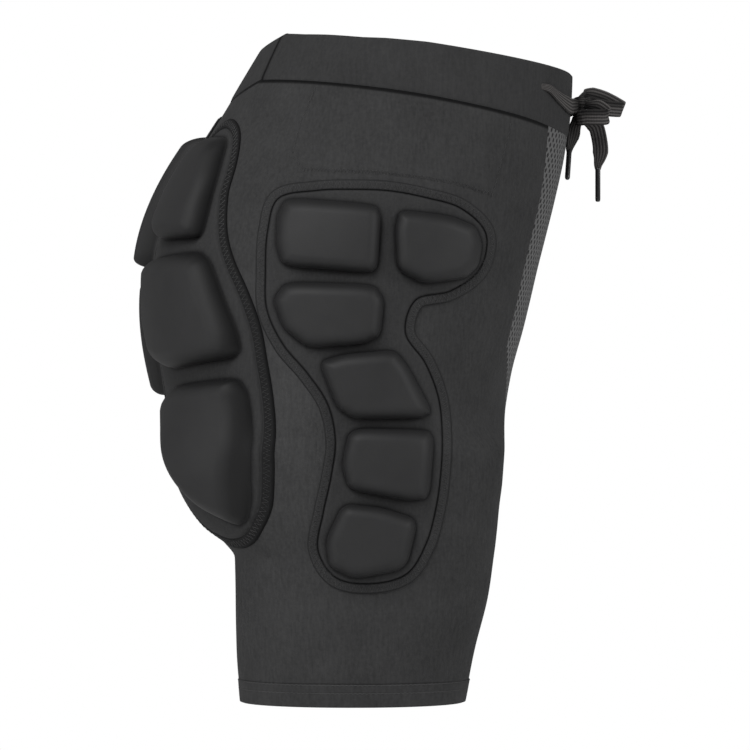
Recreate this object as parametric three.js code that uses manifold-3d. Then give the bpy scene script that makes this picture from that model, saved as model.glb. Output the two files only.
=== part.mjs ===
import * as THREE from 'three';
import { mergeVertices } from 'three/addons/utils/BufferGeometryUtils.js';
import Module from 'manifold-3d';

// Padded hip protection shorts, standing in the shape of the body that wears them.
// Millimetres, Z up. The wearer faces -Y and the wearer's right side is at -X.
// The origin is the centre of the waist opening.

const wasm = await Module();
wasm.setup();
const { Manifold, Mesh } = wasm;

// Body of the shorts
const lengthToHem = 447;
const frontReach = 106;
const seatReach = 188.5;
const hipHalfWidth = 165;
const fabricThickness = 2;
const seamGap = 0.3;

// Waistband: it rises towards the back, dips again at the centre back and is taller in front
const bandThickness = 3;
const bandProud = 0.5;
const bandSideHeight = 35;
const bandExtraFront = 10;
const bandExtraBack = 4;
const rimSlope = 0.143;
const rimBackDip = 12;
const rimDipHalfWidth = 70;
const bandSeamFromCentre = 74;

// Leg hems
const hemHeight = 16;
const hemThickness = 3;
const hemProud = 0.5;

// Front mesh panel
const meshHalfWidth = 77;
const meshStraightDown = 204;
const meshEndHalfWidth = 16;
const meshEndDown = 262;

// Pads: quilted backings sewn to the fabric, raised foam cells on them
const backingThickness = 1.8;
const cellClearance = 0.35;
const coreDepth = 25;
const flangeWidth = 6.8;
const hipPadHalfWidth = 74;
const hipPadHeight = 262;
const hipPadTopDown = 102;
const hipPadMiddleFore = -33;
const hipCellHeight = 9;
const seatPadHalfWidth = 69;
const seatPadHeight = 276;
const seatPadTopDown = 57;
const seatPadMiddle = -13.5;
const seatPadFacing = -52;
const seatCellHeight = 13;
const tailPadHalfWidth = 19;
const tailPadHeight = 198;
const tailPadTopDown = 50;
const tailCellHeight = 14;
const lowerTailCellHeight = 9;
const cellShoulder = 3;
const cellInset = 1.6;
const cellTopShare = 0.5;
const padDepthStart = 70;

// Drawstring
const tapeWidth = 11;
const tapeThickness = 1.6;
const tapeClearance = 0.6;
const tapeSqueezed = 0.5;
const squeezeReach = 9;
const leadSag = 3.2;
const knotHalfWidth = 6;
const knotHalfHeight = 6.5;
const eyeletSide = 86;
const eyeletHeight = -27.3;
const agletLength = 24;
const agletRadius = 1.8;

// Cross sections of one half from above the waist to below the hem.
// down is a share of lengthToHem, front of frontReach, back of seatReach,
// outer and inner are shares of hipHalfWidth measured sideways from the centre plane.
const sections = [
  { down: -0.05, front: 0.99, back: 0.55, outer: 0.81, inner: -0.81, squareness: 2.05 },
  { down: 0.019, front: 0.97, back: 0.645, outer: 0.83, inner: -0.83, squareness: 2.1 },
  { down: 0.086, front: 0.953, back: 0.74, outer: 0.855, inner: -0.855, squareness: 2.15 },
  { down: 0.154, front: 0.92, back: 0.838, outer: 0.891, inner: -0.891, squareness: 2.2 },
  { down: 0.232, front: 0.85, back: 0.933, outer: 0.933, inner: -0.933, squareness: 2.3 },
  { down: 0.333, front: 0.742, back: 1.0, outer: 0.976, inner: -0.976, squareness: 2.3 },
  { down: 0.423, front: 0.651, back: 0.995, outer: 0.994, inner: -0.994, squareness: 2.3 },
  { down: 0.495, front: 0.571, back: 0.971, outer: 1.0, inner: -1.0, squareness: 2.3 },
  { down: 0.549, front: 0.53, back: 0.952, outer: 1.0, inner: -0.96, squareness: 2.3 },
  { down: 0.574, front: 0.516, back: 0.941, outer: 0.997, inner: -0.72, squareness: 2.3 },
  { down: 0.596, front: 0.508, back: 0.935, outer: 0.994, inner: -0.38, squareness: 2.3 },
  { down: 0.617, front: 0.502, back: 0.928, outer: 0.994, inner: -0.06, squareness: 2.3 },
  { down: 0.635, front: 0.496, back: 0.918, outer: 0.991, inner: 0.018, squareness: 2.3 },
  { down: 0.667, front: 0.486, back: 0.897, outer: 0.985, inner: 0.03, squareness: 2.3 },
  { down: 0.7, front: 0.47, back: 0.859, outer: 0.978, inner: 0.036, squareness: 2.25 },
  { down: 0.731, front: 0.458, back: 0.806, outer: 0.972, inner: 0.042, squareness: 2.2 },
  { down: 0.758, front: 0.445, back: 0.732, outer: 0.966, inner: 0.048, squareness: 2.2 },
  { down: 0.78, front: 0.432, back: 0.697, outer: 0.963, inner: 0.055, squareness: 2.15 },
  { down: 0.842, front: 0.392, back: 0.695, outer: 0.944, inner: 0.067, squareness: 2.1 },
  { down: 0.916, front: 0.316, back: 0.69, outer: 0.925, inner: 0.079, squareness: 2.1 },
  { down: 1.01, front: 0.238, back: 0.674, outer: 0.901, inner: 0.091, squareness: 2.1 },
];

// Levels at which the fabric is drawn below the waistband, as shares of lengthToHem
const fabricLevels = [
  0.2, 0.285, 0.37, 0.46, 0.525, 0.56, 0.585, 0.608, 0.628, 0.65, 0.7, 0.745, 0.78, 0.87,
];
const columns = 32;

// Edge of the quilted hip panel, across its half width and down its height
const hipPadEdge = [
  { across: -1, down: 0.097 },
  { across: -0.91, down: 0.016 },
  { across: -0.569, down: -0.004 },
  { across: -0.233, down: -0.007 },
  { across: 0.102, down: -0.003 },
  { across: 0.432, down: 0.014 },
  { across: 0.752, down: 0.041 },
  { across: 0.976, down: 0.104 },
  { across: 0.918, down: 0.193 },
  { across: 0.653, down: 0.25 },
  { across: 0.333, down: 0.275 },
  { across: 0.24, down: 0.358 },
  { across: 0.422, down: 0.437 },
  { across: 0.541, down: 0.525 },
  { across: 0.575, down: 0.619 },
  { across: 0.562, down: 0.713 },
  { across: 0.516, down: 0.807 },
  { across: 0.426, down: 0.898 },
  { across: 0.255, down: 0.972 },
  { across: -0.057, down: 0.997 },
  { across: -0.385, down: 0.982 },
  { across: -0.544, down: 0.913 },
  { across: -0.498, down: 0.819 },
  { across: -0.427, down: 0.727 },
  { across: -0.387, down: 0.633 },
  { across: -0.455, down: 0.541 },
  { across: -0.638, down: 0.462 },
  { across: -0.86, down: 0.388 },
  { across: -1.005, down: 0.3 },
  { across: -1.02, down: 0.206 },
];

// Edge of the quilted seat panel
const seatPadEdge = [
  { across: -0.583, down: 0.03 },
  { across: -0.292, down: -0.007 },
  { across: 0.04, down: 0.019 },
  { across: 0.217, down: 0.093 },
  { across: 0.289, down: 0.179 },
  { across: 0.402, down: 0.261 },
  { across: 0.564, down: 0.339 },
  { across: 0.738, down: 0.414 },
  { across: 0.875, down: 0.495 },
  { across: 0.942, down: 0.581 },
  { across: 0.99, down: 0.667 },
  { across: 1.011, down: 0.755 },
  { across: 1.004, down: 0.842 },
  { across: 0.933, down: 0.928 },
  { across: 0.703, down: 0.99 },
  { across: 0.361, down: 1.005 },
  { across: 0.038, down: 0.975 },
  { across: -0.178, down: 0.907 },
  { across: -0.319, down: 0.827 },
  { across: -0.531, down: 0.758 },
  { across: -0.758, down: 0.692 },
  { across: -0.932, down: 0.616 },
  { across: -1.003, down: 0.531 },
  { across: -1.012, down: 0.443 },
  { across: -1.016, down: 0.356 },
  { across: -0.984, down: 0.269 },
  { across: -0.908, down: 0.183 },
  { across: -0.782, down: 0.102 },
];

// Edge of the quilted tailbone panel
const tailPadEdge = [
  { across: 0.0, down: 0.0 },
  { across: 0.55, down: 0.02 },
  { across: 0.8, down: 0.12 },
  { across: 0.97, down: 0.3 },
  { across: 1.0, down: 0.55 },
  { across: 0.93, down: 0.8 },
  { across: 0.6, down: 0.97 },
  { across: 0.0, down: 1.0 },
  { across: -0.6, down: 0.97 },
  { across: -0.93, down: 0.8 },
  { across: -1.0, down: 0.55 },
  { across: -0.97, down: 0.3 },
  { across: -0.8, down: 0.12 },
  { across: -0.55, down: 0.02 },
];

// Corners of the raised cells, given like the pad edges
const hipCells = [
  [[-0.836, 0.014], [-0.023, 0.033], [0.022, 0.064], [-0.005, 0.189], [-0.077, 0.207],
    [-0.861, 0.189], [-0.925, 0.135], [-0.917, 0.058]],
  [[-0.834, 0.23], [-0.041, 0.237], [0.049, 0.276], [0.013, 0.367], [-0.149, 0.39],
    [-0.635, 0.397], [-0.86, 0.347], [-0.951, 0.275]],
  [[-0.302, 0.413], [0.139, 0.403], [0.256, 0.441], [0.482, 0.56], [0.373, 0.578],
    [-0.212, 0.578], [-0.374, 0.55], [-0.536, 0.433]],
  [[-0.257, 0.601], [0.446, 0.606], [0.5, 0.632], [0.454, 0.782], [0.238, 0.786],
    [-0.266, 0.758], [-0.329, 0.695]],
  [[-0.32, 0.794], [0.031, 0.804], [0.355, 0.835], [0.247, 0.96], [-0.213, 0.985],
    [-0.447, 0.954], [-0.473, 0.886]],
  [[0.193, 0.046], [0.646, 0.06], [0.88, 0.085], [0.94, 0.13], [0.905, 0.185], [0.79, 0.218],
    [0.418, 0.234], [0.166, 0.199], [0.148, 0.092]],
];
const seatCells = [
  [[-0.56, 0.012], [-0.004, 0.02], [0.16, 0.128], [0.2, 0.251], [0.15, 0.271], [-0.644, 0.27],
    [-0.87, 0.24], [-0.78, 0.13]],
  [[-0.91, 0.32], [0.2, 0.303], [0.39, 0.33], [0.75, 0.496], [0.8, 0.545], [0.7, 0.567],
    [-0.307, 0.591], [-0.717, 0.573], [-0.93, 0.48], [-0.95, 0.38]],
  [[-0.5, 0.66], [-0.25, 0.633], [0.76, 0.613], [0.86, 0.647], [0.94, 0.786], [0.9, 0.905],
    [0.81, 0.956], [0.67, 0.972], [0.36, 0.935], [0.02, 0.85], [-0.3, 0.765], [-0.52, 0.705]],
];
const tailCells = [
  [[-0.46, 0.04], [0.46, 0.04], [0.75, 0.28], [0.77, 0.5], [-0.77, 0.5], [-0.75, 0.28]],
  [[-0.77, 0.545], [0.77, 0.545], [0.72, 0.78], [0.36, 0.95], [-0.36, 0.95], [-0.72, 0.78]],
];

const radians = THREE.MathUtils.degToRad;

// Smooth value of one column of the section table at a height z
function sectionValue(z, column) {
  const down = THREE.MathUtils.clamp(-z / lengthToHem, sections[0].down, sections.at(-1).down);
  let k = 0;
  while (k < sections.length - 2 && sections[k + 1].down < down) k += 1;
  const slope = (i) => (sections[i + 1][column] - sections[i][column])
    / (sections[i + 1].down - sections[i].down);
  const tangent = (i) => {
    if (i === 0) return slope(0);
    if (i === sections.length - 1) return slope(i - 1);
    const before = slope(i - 1);
    const after = slope(i);
    return before * after <= 0 ? 0 : (2 * before * after) / (before + after);
  };
  const a = sections[k];
  const b = sections[k + 1];
  const step = b.down - a.down;
  const t = (down - a.down) / step;
  return (2 * t ** 3 - 3 * t ** 2 + 1) * a[column] + (3 * t ** 2 - 2 * t ** 3) * b[column]
    + (t ** 3 - 2 * t ** 2 + t) * step * tangent(k) + (t ** 3 - t ** 2) * step * tangent(k + 1);
}

function sectionAt(z) {
  const front = frontReach * sectionValue(z, 'front');
  const back = -seatReach * sectionValue(z, 'back');
  const outer = hipHalfWidth * sectionValue(z, 'outer');
  const inner = hipHalfWidth * sectionValue(z, 'inner');
  return {
    side: (outer + inner) / 2,
    halfSide: (outer - inner) / 2,
    fore: (front + back) / 2,
    halfFore: (front - back) / 2,
    squareness: sectionValue(z, 'squareness'),
  };
}

// Point of the right half's surface: turn 0 is the outer side, 90 degrees the front.
// The result holds side, the distance out from the centre plane, and fore, the distance forward.
function surfacePoint(turn, z, lift) {
  const s = sectionAt(z);
  const halfSide = s.halfSide + lift;
  const halfFore = s.halfFore + lift;
  const reach = (Math.abs(Math.cos(turn) / halfSide) ** s.squareness
    + Math.abs(Math.sin(turn) / halfFore) ** s.squareness) ** (-1 / s.squareness);
  return { side: s.side + reach * Math.cos(turn), fore: s.fore + reach * Math.sin(turn) };
}

const toWorld = (point, z) => new THREE.Vector3(-point.side, -point.fore, z);

// Closed body from vertices and faces, turned right side out
function body(vertices, faces) {
  const geometry = new THREE.BufferGeometry();
  geometry.setAttribute('position', new THREE.Float32BufferAttribute(
    vertices.flatMap((v) => [v.x, v.y, v.z]), 3));
  let volume = 0;
  for (const [a, b, c] of faces) {
    volume += vertices[a].dot(vertices[b].clone().cross(vertices[c]));
  }
  geometry.setIndex(faces.flatMap(([a, b, c]) => (volume < 0 ? [a, c, b] : [a, b, c])));
  return geometry;
}

function toSolid(geometry) {
  const bare = geometry.clone();
  bare.deleteAttribute('normal');
  bare.deleteAttribute('uv');
  const merged = mergeVertices(bare, 1e-4);
  return new Manifold(new Mesh({
    numProp: 3,
    vertProperties: new Float32Array(merged.attributes.position.array),
    triVerts: new Uint32Array(merged.index.array),
  }));
}

function toGeometry(solid) {
  const mesh = solid.getMesh();
  const geometry = new THREE.BufferGeometry();
  geometry.setAttribute('position', new THREE.Float32BufferAttribute(mesh.vertProperties, 3));
  geometry.setIndex([...mesh.triVerts]);
  return geometry;
}

function mirrored(geometry) {
  const copy = geometry.clone();
  copy.scale(-1, 1, 1);
  const index = [...copy.index.array];
  for (let i = 0; i < index.length; i += 3) {
    [index[i + 1], index[i + 2]] = [index[i + 2], index[i + 1]];
  }
  copy.setIndex(index);
  return copy;
}

// Wall between two surfaces: rings of points, outer going down, then inner going up
function ringWall(turns, rings, closed) {
  const vertices = [];
  const faces = [];
  const around = rings.length;
  turns.forEach((turn) => rings.forEach((ring) => vertices.push(ring(turn))));
  const count = closed ? turns.length : turns.length - 1;
  for (let j = 0; j < count; j += 1) {
    const here = j * around;
    const next = ((j + 1) % turns.length) * around;
    for (let k = 0; k < around; k += 1) {
      const l = (k + 1) % around;
      if (k < around / 2) faces.push([here + k, next + k, next + l], [here + k, next + l, here + l]);
      else faces.push([here + k, next + k, here + l], [next + k, next + l, here + l]);
    }
  }
  if (!closed) {
    const last = (turns.length - 1) * around;
    for (let k = 1; k < around - 1; k += 1) {
      faces.push([0, k, k + 1], [last, last + k + 1, last + k]);
    }
  }
  return body(vertices, faces);
}

const allTurns = Array.from({ length: columns }, (_, j) => radians((360 * (j + 0.5)) / columns));

// Height of the waistband's top edge and of its bottom edge
function rimHeight(turn) {
  const point = surfacePoint(turn, 0, 0);
  const inward = Math.max(0, 1 - (point.side / rimDipHalfWidth) ** 2);
  return -rimSlope * point.fore - (Math.sin(turn) < 0 ? rimBackDip * inward : 0);
}

function bandBottom(turn) {
  const extra = Math.sin(turn) > 0 ? bandExtraFront : bandExtraBack;
  return rimHeight(turn) - bandSideHeight - extra * Math.sin(turn) ** 2;
}

const hemTop = -lengthToHem + hemHeight;

// Fabric wall of the right half, from the waistband down to the hem
function fabricWall(outerLift, innerLift) {
  const level = (turn, share, lift) => toWorld(surfacePoint(turn, -share * lengthToHem, lift),
    -share * lengthToHem);
  const top = (lift) => (turn) => {
    const z = bandBottom(turn) - seamGap;
    return toWorld(surfacePoint(turn, z, lift), z);
  };
  const bottom = (lift) => (turn) => {
    const z = hemTop + seamGap;
    return toWorld(surfacePoint(turn, z, lift), z);
  };
  const outer = fabricLevels.map((share) => (turn) => level(turn, share, outerLift));
  const inner = fabricLevels.map((share) => (turn) => level(turn, share, innerLift)).reverse();
  return ringWall(allTurns, [top(outerLift), ...outer, bottom(outerLift),
    bottom(innerLift), ...inner, top(innerLift)], true);
}

// Block standing on one side of the centre plane
function halfSpace(from, size) {
  const box = new THREE.BoxGeometry(size, 2 * size, 2 * size);
  box.translate(-from - size / 2, 0, 0);
  return toSolid(box);
}

// Straight block with the outline of a pad, pointing outwards in the direction it faces
function prism(outline, facing, near, far) {
  const shape = new THREE.Shape(outline.map(([x, y]) => new THREE.Vector2(x, y)));
  const block = new THREE.ExtrudeGeometry(shape, {
    depth: far - near, steps: 1, bevelEnabled: false, curveSegments: 1,
  });
  block.translate(0, 0, near);
  const a = radians(facing);
  block.applyMatrix4(new THREE.Matrix4().makeBasis(
    new THREE.Vector3(Math.sin(a), -Math.cos(a), 0),
    new THREE.Vector3(0, 0, 1),
    new THREE.Vector3(-Math.cos(a), -Math.sin(a), 0)));
  return toSolid(block);
}

function meshOutline(extra) {
  const w = meshHalfWidth + extra;
  const e = meshEndHalfWidth + extra;
  return [[-w, 60], [w, 60], [w, -meshStraightDown], [e, -meshEndDown - extra],
    [-e, -meshEndDown - extra], [-w, -meshStraightDown]].reverse();
}

// Fabric: side panels with the leg tubes, and the mesh panel set in the front
const wall = toSolid(fabricWall(0, -fabricThickness));
const rightHalf = halfSpace(seamGap / 2, 600);
const farFront = 400;
const meshHole = prism(meshOutline(seamGap), 90, 0, farFront);
const sidePanel = toGeometry(wall.intersect(rightHalf).subtract(meshHole));
const meshBlock = prism(meshOutline(0), 90, 0, farFront);
const meshHalf = toGeometry(wall.intersect(halfSpace(0, 600)).intersect(meshBlock));
const frontMesh = toGeometry(toSolid(meshHalf).add(toSolid(mirrored(meshHalf))));

// Waistband in a long front piece and a short back piece, sewn at both rear sides
function bandPiece(fromTurn, toTurn, steps) {
  const outerLift = bandProud;
  const innerLift = bandProud - bandThickness;
  const turns = Array.from({ length: steps + 1 }, (_, j) => (
    fromTurn + ((toTurn - fromTurn) * j) / steps));
  const edge = (height, lift) => (turn) => {
    const z = height(turn);
    return toWorld(surfacePoint(turn, z, lift), z);
  };
  const middle = (turn) => (rimHeight(turn) + bandBottom(turn)) / 2;
  return ringWall(turns, [edge(rimHeight, outerLift), edge(middle, outerLift),
    edge(bandBottom, outerLift), edge(bandBottom, innerLift), edge(middle, innerLift),
    edge(rimHeight, innerLift)], false);
}

function turnAtSide(side) {
  let low = radians(-90);
  let high = radians(0);
  for (let i = 0; i < 40; i += 1) {
    const middle = (low + high) / 2;
    if (surfacePoint(middle, -bandSideHeight / 2, 0).side < side) low = middle;
    else high = middle;
  }
  return low;
}

const seamTurn = turnAtSide(bandSeamFromCentre);
const seamStep = seamGap / 2 / hipHalfWidth;
const bandFront = bandPiece(seamTurn + seamStep, Math.PI - seamTurn - seamStep, 26);
const bandBack = bandPiece(-Math.PI - seamTurn + seamStep, seamTurn - seamStep, 8);

// Leg hem, a folded band below the seam
function legHem() {
  const edge = (z, lift) => (turn) => toWorld(surfacePoint(turn, z, lift), z);
  return ringWall(allTurns, [edge(hemTop, hemProud), edge(-lengthToHem, hemProud),
    edge(-lengthToHem, hemProud - hemThickness), edge(hemTop, hemProud - hemThickness)], true);
}

// Pads
const hipFrame = {
  facing: 0, middle: hipPadMiddleFore, halfWidth: hipPadHalfWidth,
  top: -hipPadTopDown, height: hipPadHeight,
};
const seatFrame = {
  facing: seatPadFacing, middle: seatPadMiddle, halfWidth: seatPadHalfWidth,
  top: -seatPadTopDown, height: seatPadHeight,
};
const tailFrame = {
  facing: -90, middle: 0, halfWidth: tailPadHalfWidth,
  top: -tailPadTopDown, height: tailPadHeight,
};

const inFrame = (frame, across, down) => [frame.middle + across * frame.halfWidth,
  frame.top - down * frame.height];

// Outline moved outwards by a width, or inwards by a negative one
function grown(outline, amount) {
  const turning = THREE.ShapeUtils.area(outline.map(([x, y]) => new THREE.Vector2(x, y)));
  return outline.map(([x, y], i) => {
    const before = outline.at(i - 1);
    const after = outline[(i + 1) % outline.length];
    const along = new THREE.Vector2(after[0] - before[0], after[1] - before[1]).normalize();
    const out = turning > 0 ? 1 : -1;
    return [x + out * along.y * amount, y - out * along.x * amount];
  });
}

function padOutline(frame, edge, points) {
  const corners = edge.map((row) => new THREE.Vector3(...inFrame(frame, row.across, row.down), 0));
  const curve = new THREE.CatmullRomCurve3(corners, true, 'centripetal');
  return grown(curve.getSpacedPoints(points).slice(0, -1).map((p) => [p.x, p.y]), flangeWidth);
}

function backing(frame, edge, points) {
  const sheet = toSolid(fabricWall(seamGap + backingThickness, seamGap));
  return sheet.intersect(prism(padOutline(frame, edge, points), frame.facing, padDepthStart, 400));
}

// Point of the surface seen at a place of the pad's own view
function padPoint(frame, [across, z], lift) {
  const a = radians(frame.facing);
  const beyond = frame === tailFrame && across < 0;
  const wanted = beyond ? -across : across;
  let low = a - radians(frame === tailFrame ? 0.5 : 88);
  let high = a + radians(88);
  for (let i = 0; i < 40; i += 1) {
    const middle = (low + high) / 2;
    const p = surfacePoint(middle, z, lift);
    if (p.fore * Math.cos(a) - p.side * Math.sin(a) < wanted) low = middle;
    else high = middle;
  }
  const point = toWorld(surfacePoint((low + high) / 2, z, lift), z);
  if (beyond) point.x = -point.x;
  return point;
}

// Outline through rounded corners, at even steps
function roundedOutline(corners, points) {
  const path = new THREE.Path();
  const middle = (i) => {
    const a = corners.at(i);
    const b = corners[(i + 1 + corners.length) % corners.length];
    return [(a[0] + b[0]) / 2, (a[1] + b[1]) / 2];
  };
  const share = 0.45;
  const towards = (from, to) => [from[0] + (to[0] - from[0]) * share,
    from[1] + (to[1] - from[1]) * share];
  const start = towards(middle(-1), corners[0]);
  path.moveTo(...start);
  corners.forEach((corner, i) => {
    path.lineTo(...towards(middle(i - 1), corner));
    path.quadraticCurveTo(...corner, ...towards(middle(i), corner));
  });
  path.lineTo(...start);
  return path.getSpacedPoints(points).slice(0, -1).map((p) => [p.x, p.y]);
}

// The body under the cells, which their undersides follow
const cellBase = seamGap + backingThickness + cellClearance;
const coreWall = fabricWall(cellBase, -coreDepth);
const core = toSolid(coreWall);
const coreLeft = toSolid(mirrored(coreWall));

// Raised foam cell: a soft block whose underside follows the body
function cell(frame, corners, height, points) {
  const outline = roundedOutline(corners.map(([x, y]) => inFrame(frame, x, y)), points);
  const centre = [0, 1].map((axis) => outline.reduce((sum, p) => sum + p[axis], 0) / points);
  const shrunk = outline.map((p) => [0, 1].map((axis) => (
    centre[axis] + (p[axis] - centre[axis]) * cellTopShare)));
  const base = cellBase;
  const rings = [
    [outline, 0],
    [grown(outline, -cellInset), base + height - cellShoulder],
    [grown(outline, -cellInset - cellShoulder), base + height - cellShoulder / 4],
    [shrunk, base + height],
  ];
  const vertices = [];
  const faces = [];
  rings.forEach(([ring, lift]) => ring.forEach((p) => vertices.push(padPoint(frame, p, lift))));
  for (let r = 0; r < rings.length - 1; r += 1) {
    for (let k = 0; k < points; k += 1) {
      const l = (k + 1) % points;
      const here = r * points;
      const next = here + points;
      faces.push([here + k, here + l, next + l], [here + k, next + l, next + k]);
    }
  }
  const under = vertices.push(padPoint(frame, centre, 0)) - 1;
  const over = vertices.push(padPoint(frame, centre, base + height)) - 1;
  const last = (rings.length - 1) * points;
  for (let k = 0; k < points; k += 1) {
    const l = (k + 1) % points;
    faces.push([under, l, k], [over, last + k, last + l]);
  }
  return toGeometry(toSolid(body(vertices, faces)).subtract(core).subtract(coreLeft));
}

const hipBacking = toGeometry(backing(hipFrame, hipPadEdge, 36));
const seatBacking = toGeometry(backing(seatFrame, seatPadEdge, 32));
const tailHalf = toGeometry(backing(tailFrame, tailPadEdge, 20).intersect(halfSpace(0, 600)));
const tailBacking = toGeometry(toSolid(tailHalf).add(toSolid(mirrored(tailHalf))));

// Drawstring of flat tape: it leaves the band on each side, meets in a knot and ends in a bow.
// Each point gives side, fore and height, then the direction across the tape. The eyelet, the
// knot and the tip squeeze the tape, so it is narrower near both ends of each stretch.
function tape(points, steps) {
  const path = new THREE.CatmullRomCurve3(points.map((p) => (
    new THREE.Vector3(-p.side, -p.fore, p.z))), false, 'centripetal');
  const across = new THREE.CatmullRomCurve3(points.map((p) => (
    new THREE.Vector3(-p.across[0], -p.across[1], p.across[2]))), false, 'centripetal');
  const first = path.getPoint(0);
  const last = path.getPoint(1);
  const vertices = [];
  const faces = [];
  for (let i = 0; i <= steps; i += 1) {
    const t = i / steps;
    const centre = path.getPoint(t);
    const fromEnd = Math.min(centre.distanceTo(first), centre.distanceTo(last));
    const spread = Math.min(1, tapeSqueezed + (1 - tapeSqueezed) * fromEnd / squeezeReach);
    const along = path.getTangent(t);
    const width = across.getPoint(t);
    width.addScaledVector(along, -width.dot(along)).normalize().multiplyScalar(spread * tapeWidth / 2);
    const thick = along.clone().cross(width).normalize().multiplyScalar(tapeThickness / 2);
    [[1, 1], [1, -1], [-1, -1], [-1, 1]].forEach(([a, b]) => {
      vertices.push(centre.clone().addScaledVector(width, a).addScaledVector(thick, b));
    });
  }
  for (let i = 0; i < steps; i += 1) {
    for (let k = 0; k < 4; k += 1) {
      const l = (k + 1) % 4;
      const here = i * 4;
      const next = here + 4;
      faces.push([here + k, here + l, next + l], [here + k, next + l, next + k]);
    }
  }
  const end = steps * 4;
  faces.push([0, 2, 1], [0, 3, 2], [end, end + 1, end + 2], [end, end + 2, end + 3]);
  return body(vertices, faces);
}

const knotSide = 2;
const knotHeight = -35;
const upright = [0, 0, 1];

// Distance forward of the waistband's front at a distance sideways
function bandFore(side, z, lift) {
  const s = sectionAt(z);
  const share = 1 - Math.abs(side / (s.halfSide + lift)) ** s.squareness;
  return s.fore + (s.halfFore + lift) * share ** (1 / s.squareness);
}

const knotFore = bandFore(knotSide, knotHeight, bandProud + seamGap + knotHalfWidth);
const fromKnot = (side, fore, rise, across) => ({
  side: knotSide + side, fore: knotFore + fore, z: knotHeight + rise, across,
});

// Each side's tape lies on the band from its eyelet to the knot
function lead(sign) {
  const onBand = [1, 0.8, 0.6, 0.4, 0.2].map((share) => {
    const side = eyeletSide * share;
    const sag = leadSag * 4 * share * (1 - share);
    const z = knotHeight + (eyeletHeight - knotHeight) * share ** 3 - sag;
    const fore = bandFore(side, z, bandProud + tapeClearance + tapeThickness / 2);
    return { side: sign * side, fore, z, across: upright };
  });
  return [...onBand, fromKnot(sign * 6.6, -2.6, -1.2, upright)];
}

const loopRight = [
  fromKnot(4.4, 4.6, -0.6, upright),
  fromKnot(6.8, 7.6, -1.4, upright),
  fromKnot(9.4, 12, -2.4, upright),
  fromKnot(11.8, 16, -5, upright),
  fromKnot(14, 18.6, -8, upright),
  fromKnot(16, 17, -9.4, upright),
  fromKnot(16.4, 11, -9.6, upright),
  fromKnot(15.6, 3, -9.6, upright),
  fromKnot(14, -1.6, -10.2, upright),
  fromKnot(11, -2.4, -10.6, upright),
  fromKnot(8, -1.8, -10.9, upright),
  fromKnot(5.9, -0.4, -11, upright),
];
const loopLeft = [
  fromKnot(-5.1, 3.4, 7.1, upright),
  fromKnot(-8, 4, 7.8, upright),
  fromKnot(-12.5, 10, 7.2, upright),
  fromKnot(-15, 17, 5.2, upright),
  fromKnot(-15.5, 23.5, 2, upright),
  fromKnot(-14, 29, -1.4, upright),
  fromKnot(-10.5, 30, -2.6, upright),
  fromKnot(-7.5, 27, -2.8, upright),
  fromKnot(-5.5, 19, -2.2, upright),
  fromKnot(-4, 12.5, -0.2, upright),
  fromKnot(-2.6, 8, 1.6, upright),
  fromKnot(-1.5, 7.1, 2.4, upright),
];
const tailRight = [
  fromKnot(1, -1, -6.9, [-0.2, 1, 0]),
  fromKnot(2.4, -2.2, -11.2, [-0.3, 1, 0]),
  fromKnot(4.6, -2.8, -16, [-0.5, 0.9, 0]),
  fromKnot(6.8, -3.9, -22.5, [-0.6, 0.8, 0]),
  fromKnot(8, -5.6, -28, [-0.6, 0.8, 0]),
  fromKnot(8.8, -6.9, -31, [-0.6, 0.8, 0]),
  fromKnot(10.3, -7.4, -33.6, [-0.6, 0.8, 0]),
];
const tailLeft = [
  fromKnot(-2.2, 2, -6.6, [0.1, 1, 0.2]),
  fromKnot(-2, 4.6, -10, [0.1, 1, 0.5]),
  fromKnot(-1.4, 8.6, -12.8, [0.1, 1, 0.7]),
  fromKnot(-0.6, 11.4, -16, [0.1, 1, 0.4]),
  fromKnot(0, 12.6, -20, [0.15, 1, 0]),
  fromKnot(0.2, 13.6, -25, [0.2, 1, 0]),
  fromKnot(0.2, 14.3, -31, [0.2, 1, 0]),
  fromKnot(0.2, 13.8, -37, [0.2, 1, 0]),
  fromKnot(0.2, 12.6, -42, [0.2, 1, 0]),
  fromKnot(0.2, 12.4, -45.5, [0.2, 1, 0]),
];
const tapeSteps = 12;

// Moulded tip on a tail's end. The heading is its direction in side, fore and height.
function aglet(tail, heading) {
  const end = tail[tail.length - 1];
  const along = new THREE.Vector3(-heading[0], -heading[1], heading[2]).normalize();
  const upwards = new THREE.Vector3(0, 1, 0);
  const middle = new THREE.Vector3(-end.side, -end.fore, end.z);
  middle.addScaledVector(along, agletLength / 2 + seamGap);
  const sleeve = new THREE.CylinderGeometry(agletRadius, agletRadius, agletLength, 10);
  sleeve.applyQuaternion(new THREE.Quaternion().setFromUnitVectors(upwards, along));
  sleeve.translate(middle.x, middle.y, middle.z);
  return mergeVertices(sleeve.deleteAttribute('normal').deleteAttribute('uv'), 1e-4);
}

const knot = new THREE.SphereGeometry(1, 8, 6);
knot.scale(knotHalfWidth, knotHalfWidth, knotHalfHeight);
knot.translate(-knotSide, -knotFore, knotHeight);

// Every piece with its colour and finish
const fabricFinish = { color: 0x2b2b2d, roughness: 0.85, metalness: 0 };
const bandFinish = { color: 0x29292b, roughness: 0.8, metalness: 0 };
const meshFinish = { color: 0x3a3a3c, roughness: 0.85, metalness: 0 };
const quiltFinish = { color: 0x262628, roughness: 0.9, metalness: 0 };
const cellFinish = { color: 0x2a2a2c, roughness: 0.55, metalness: 0 };
const tapeFinish = { color: 0x1a1918, roughness: 0.8, metalness: 0 };
const agletFinish = { color: 0x141414, roughness: 0.35, metalness: 0 };

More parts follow.
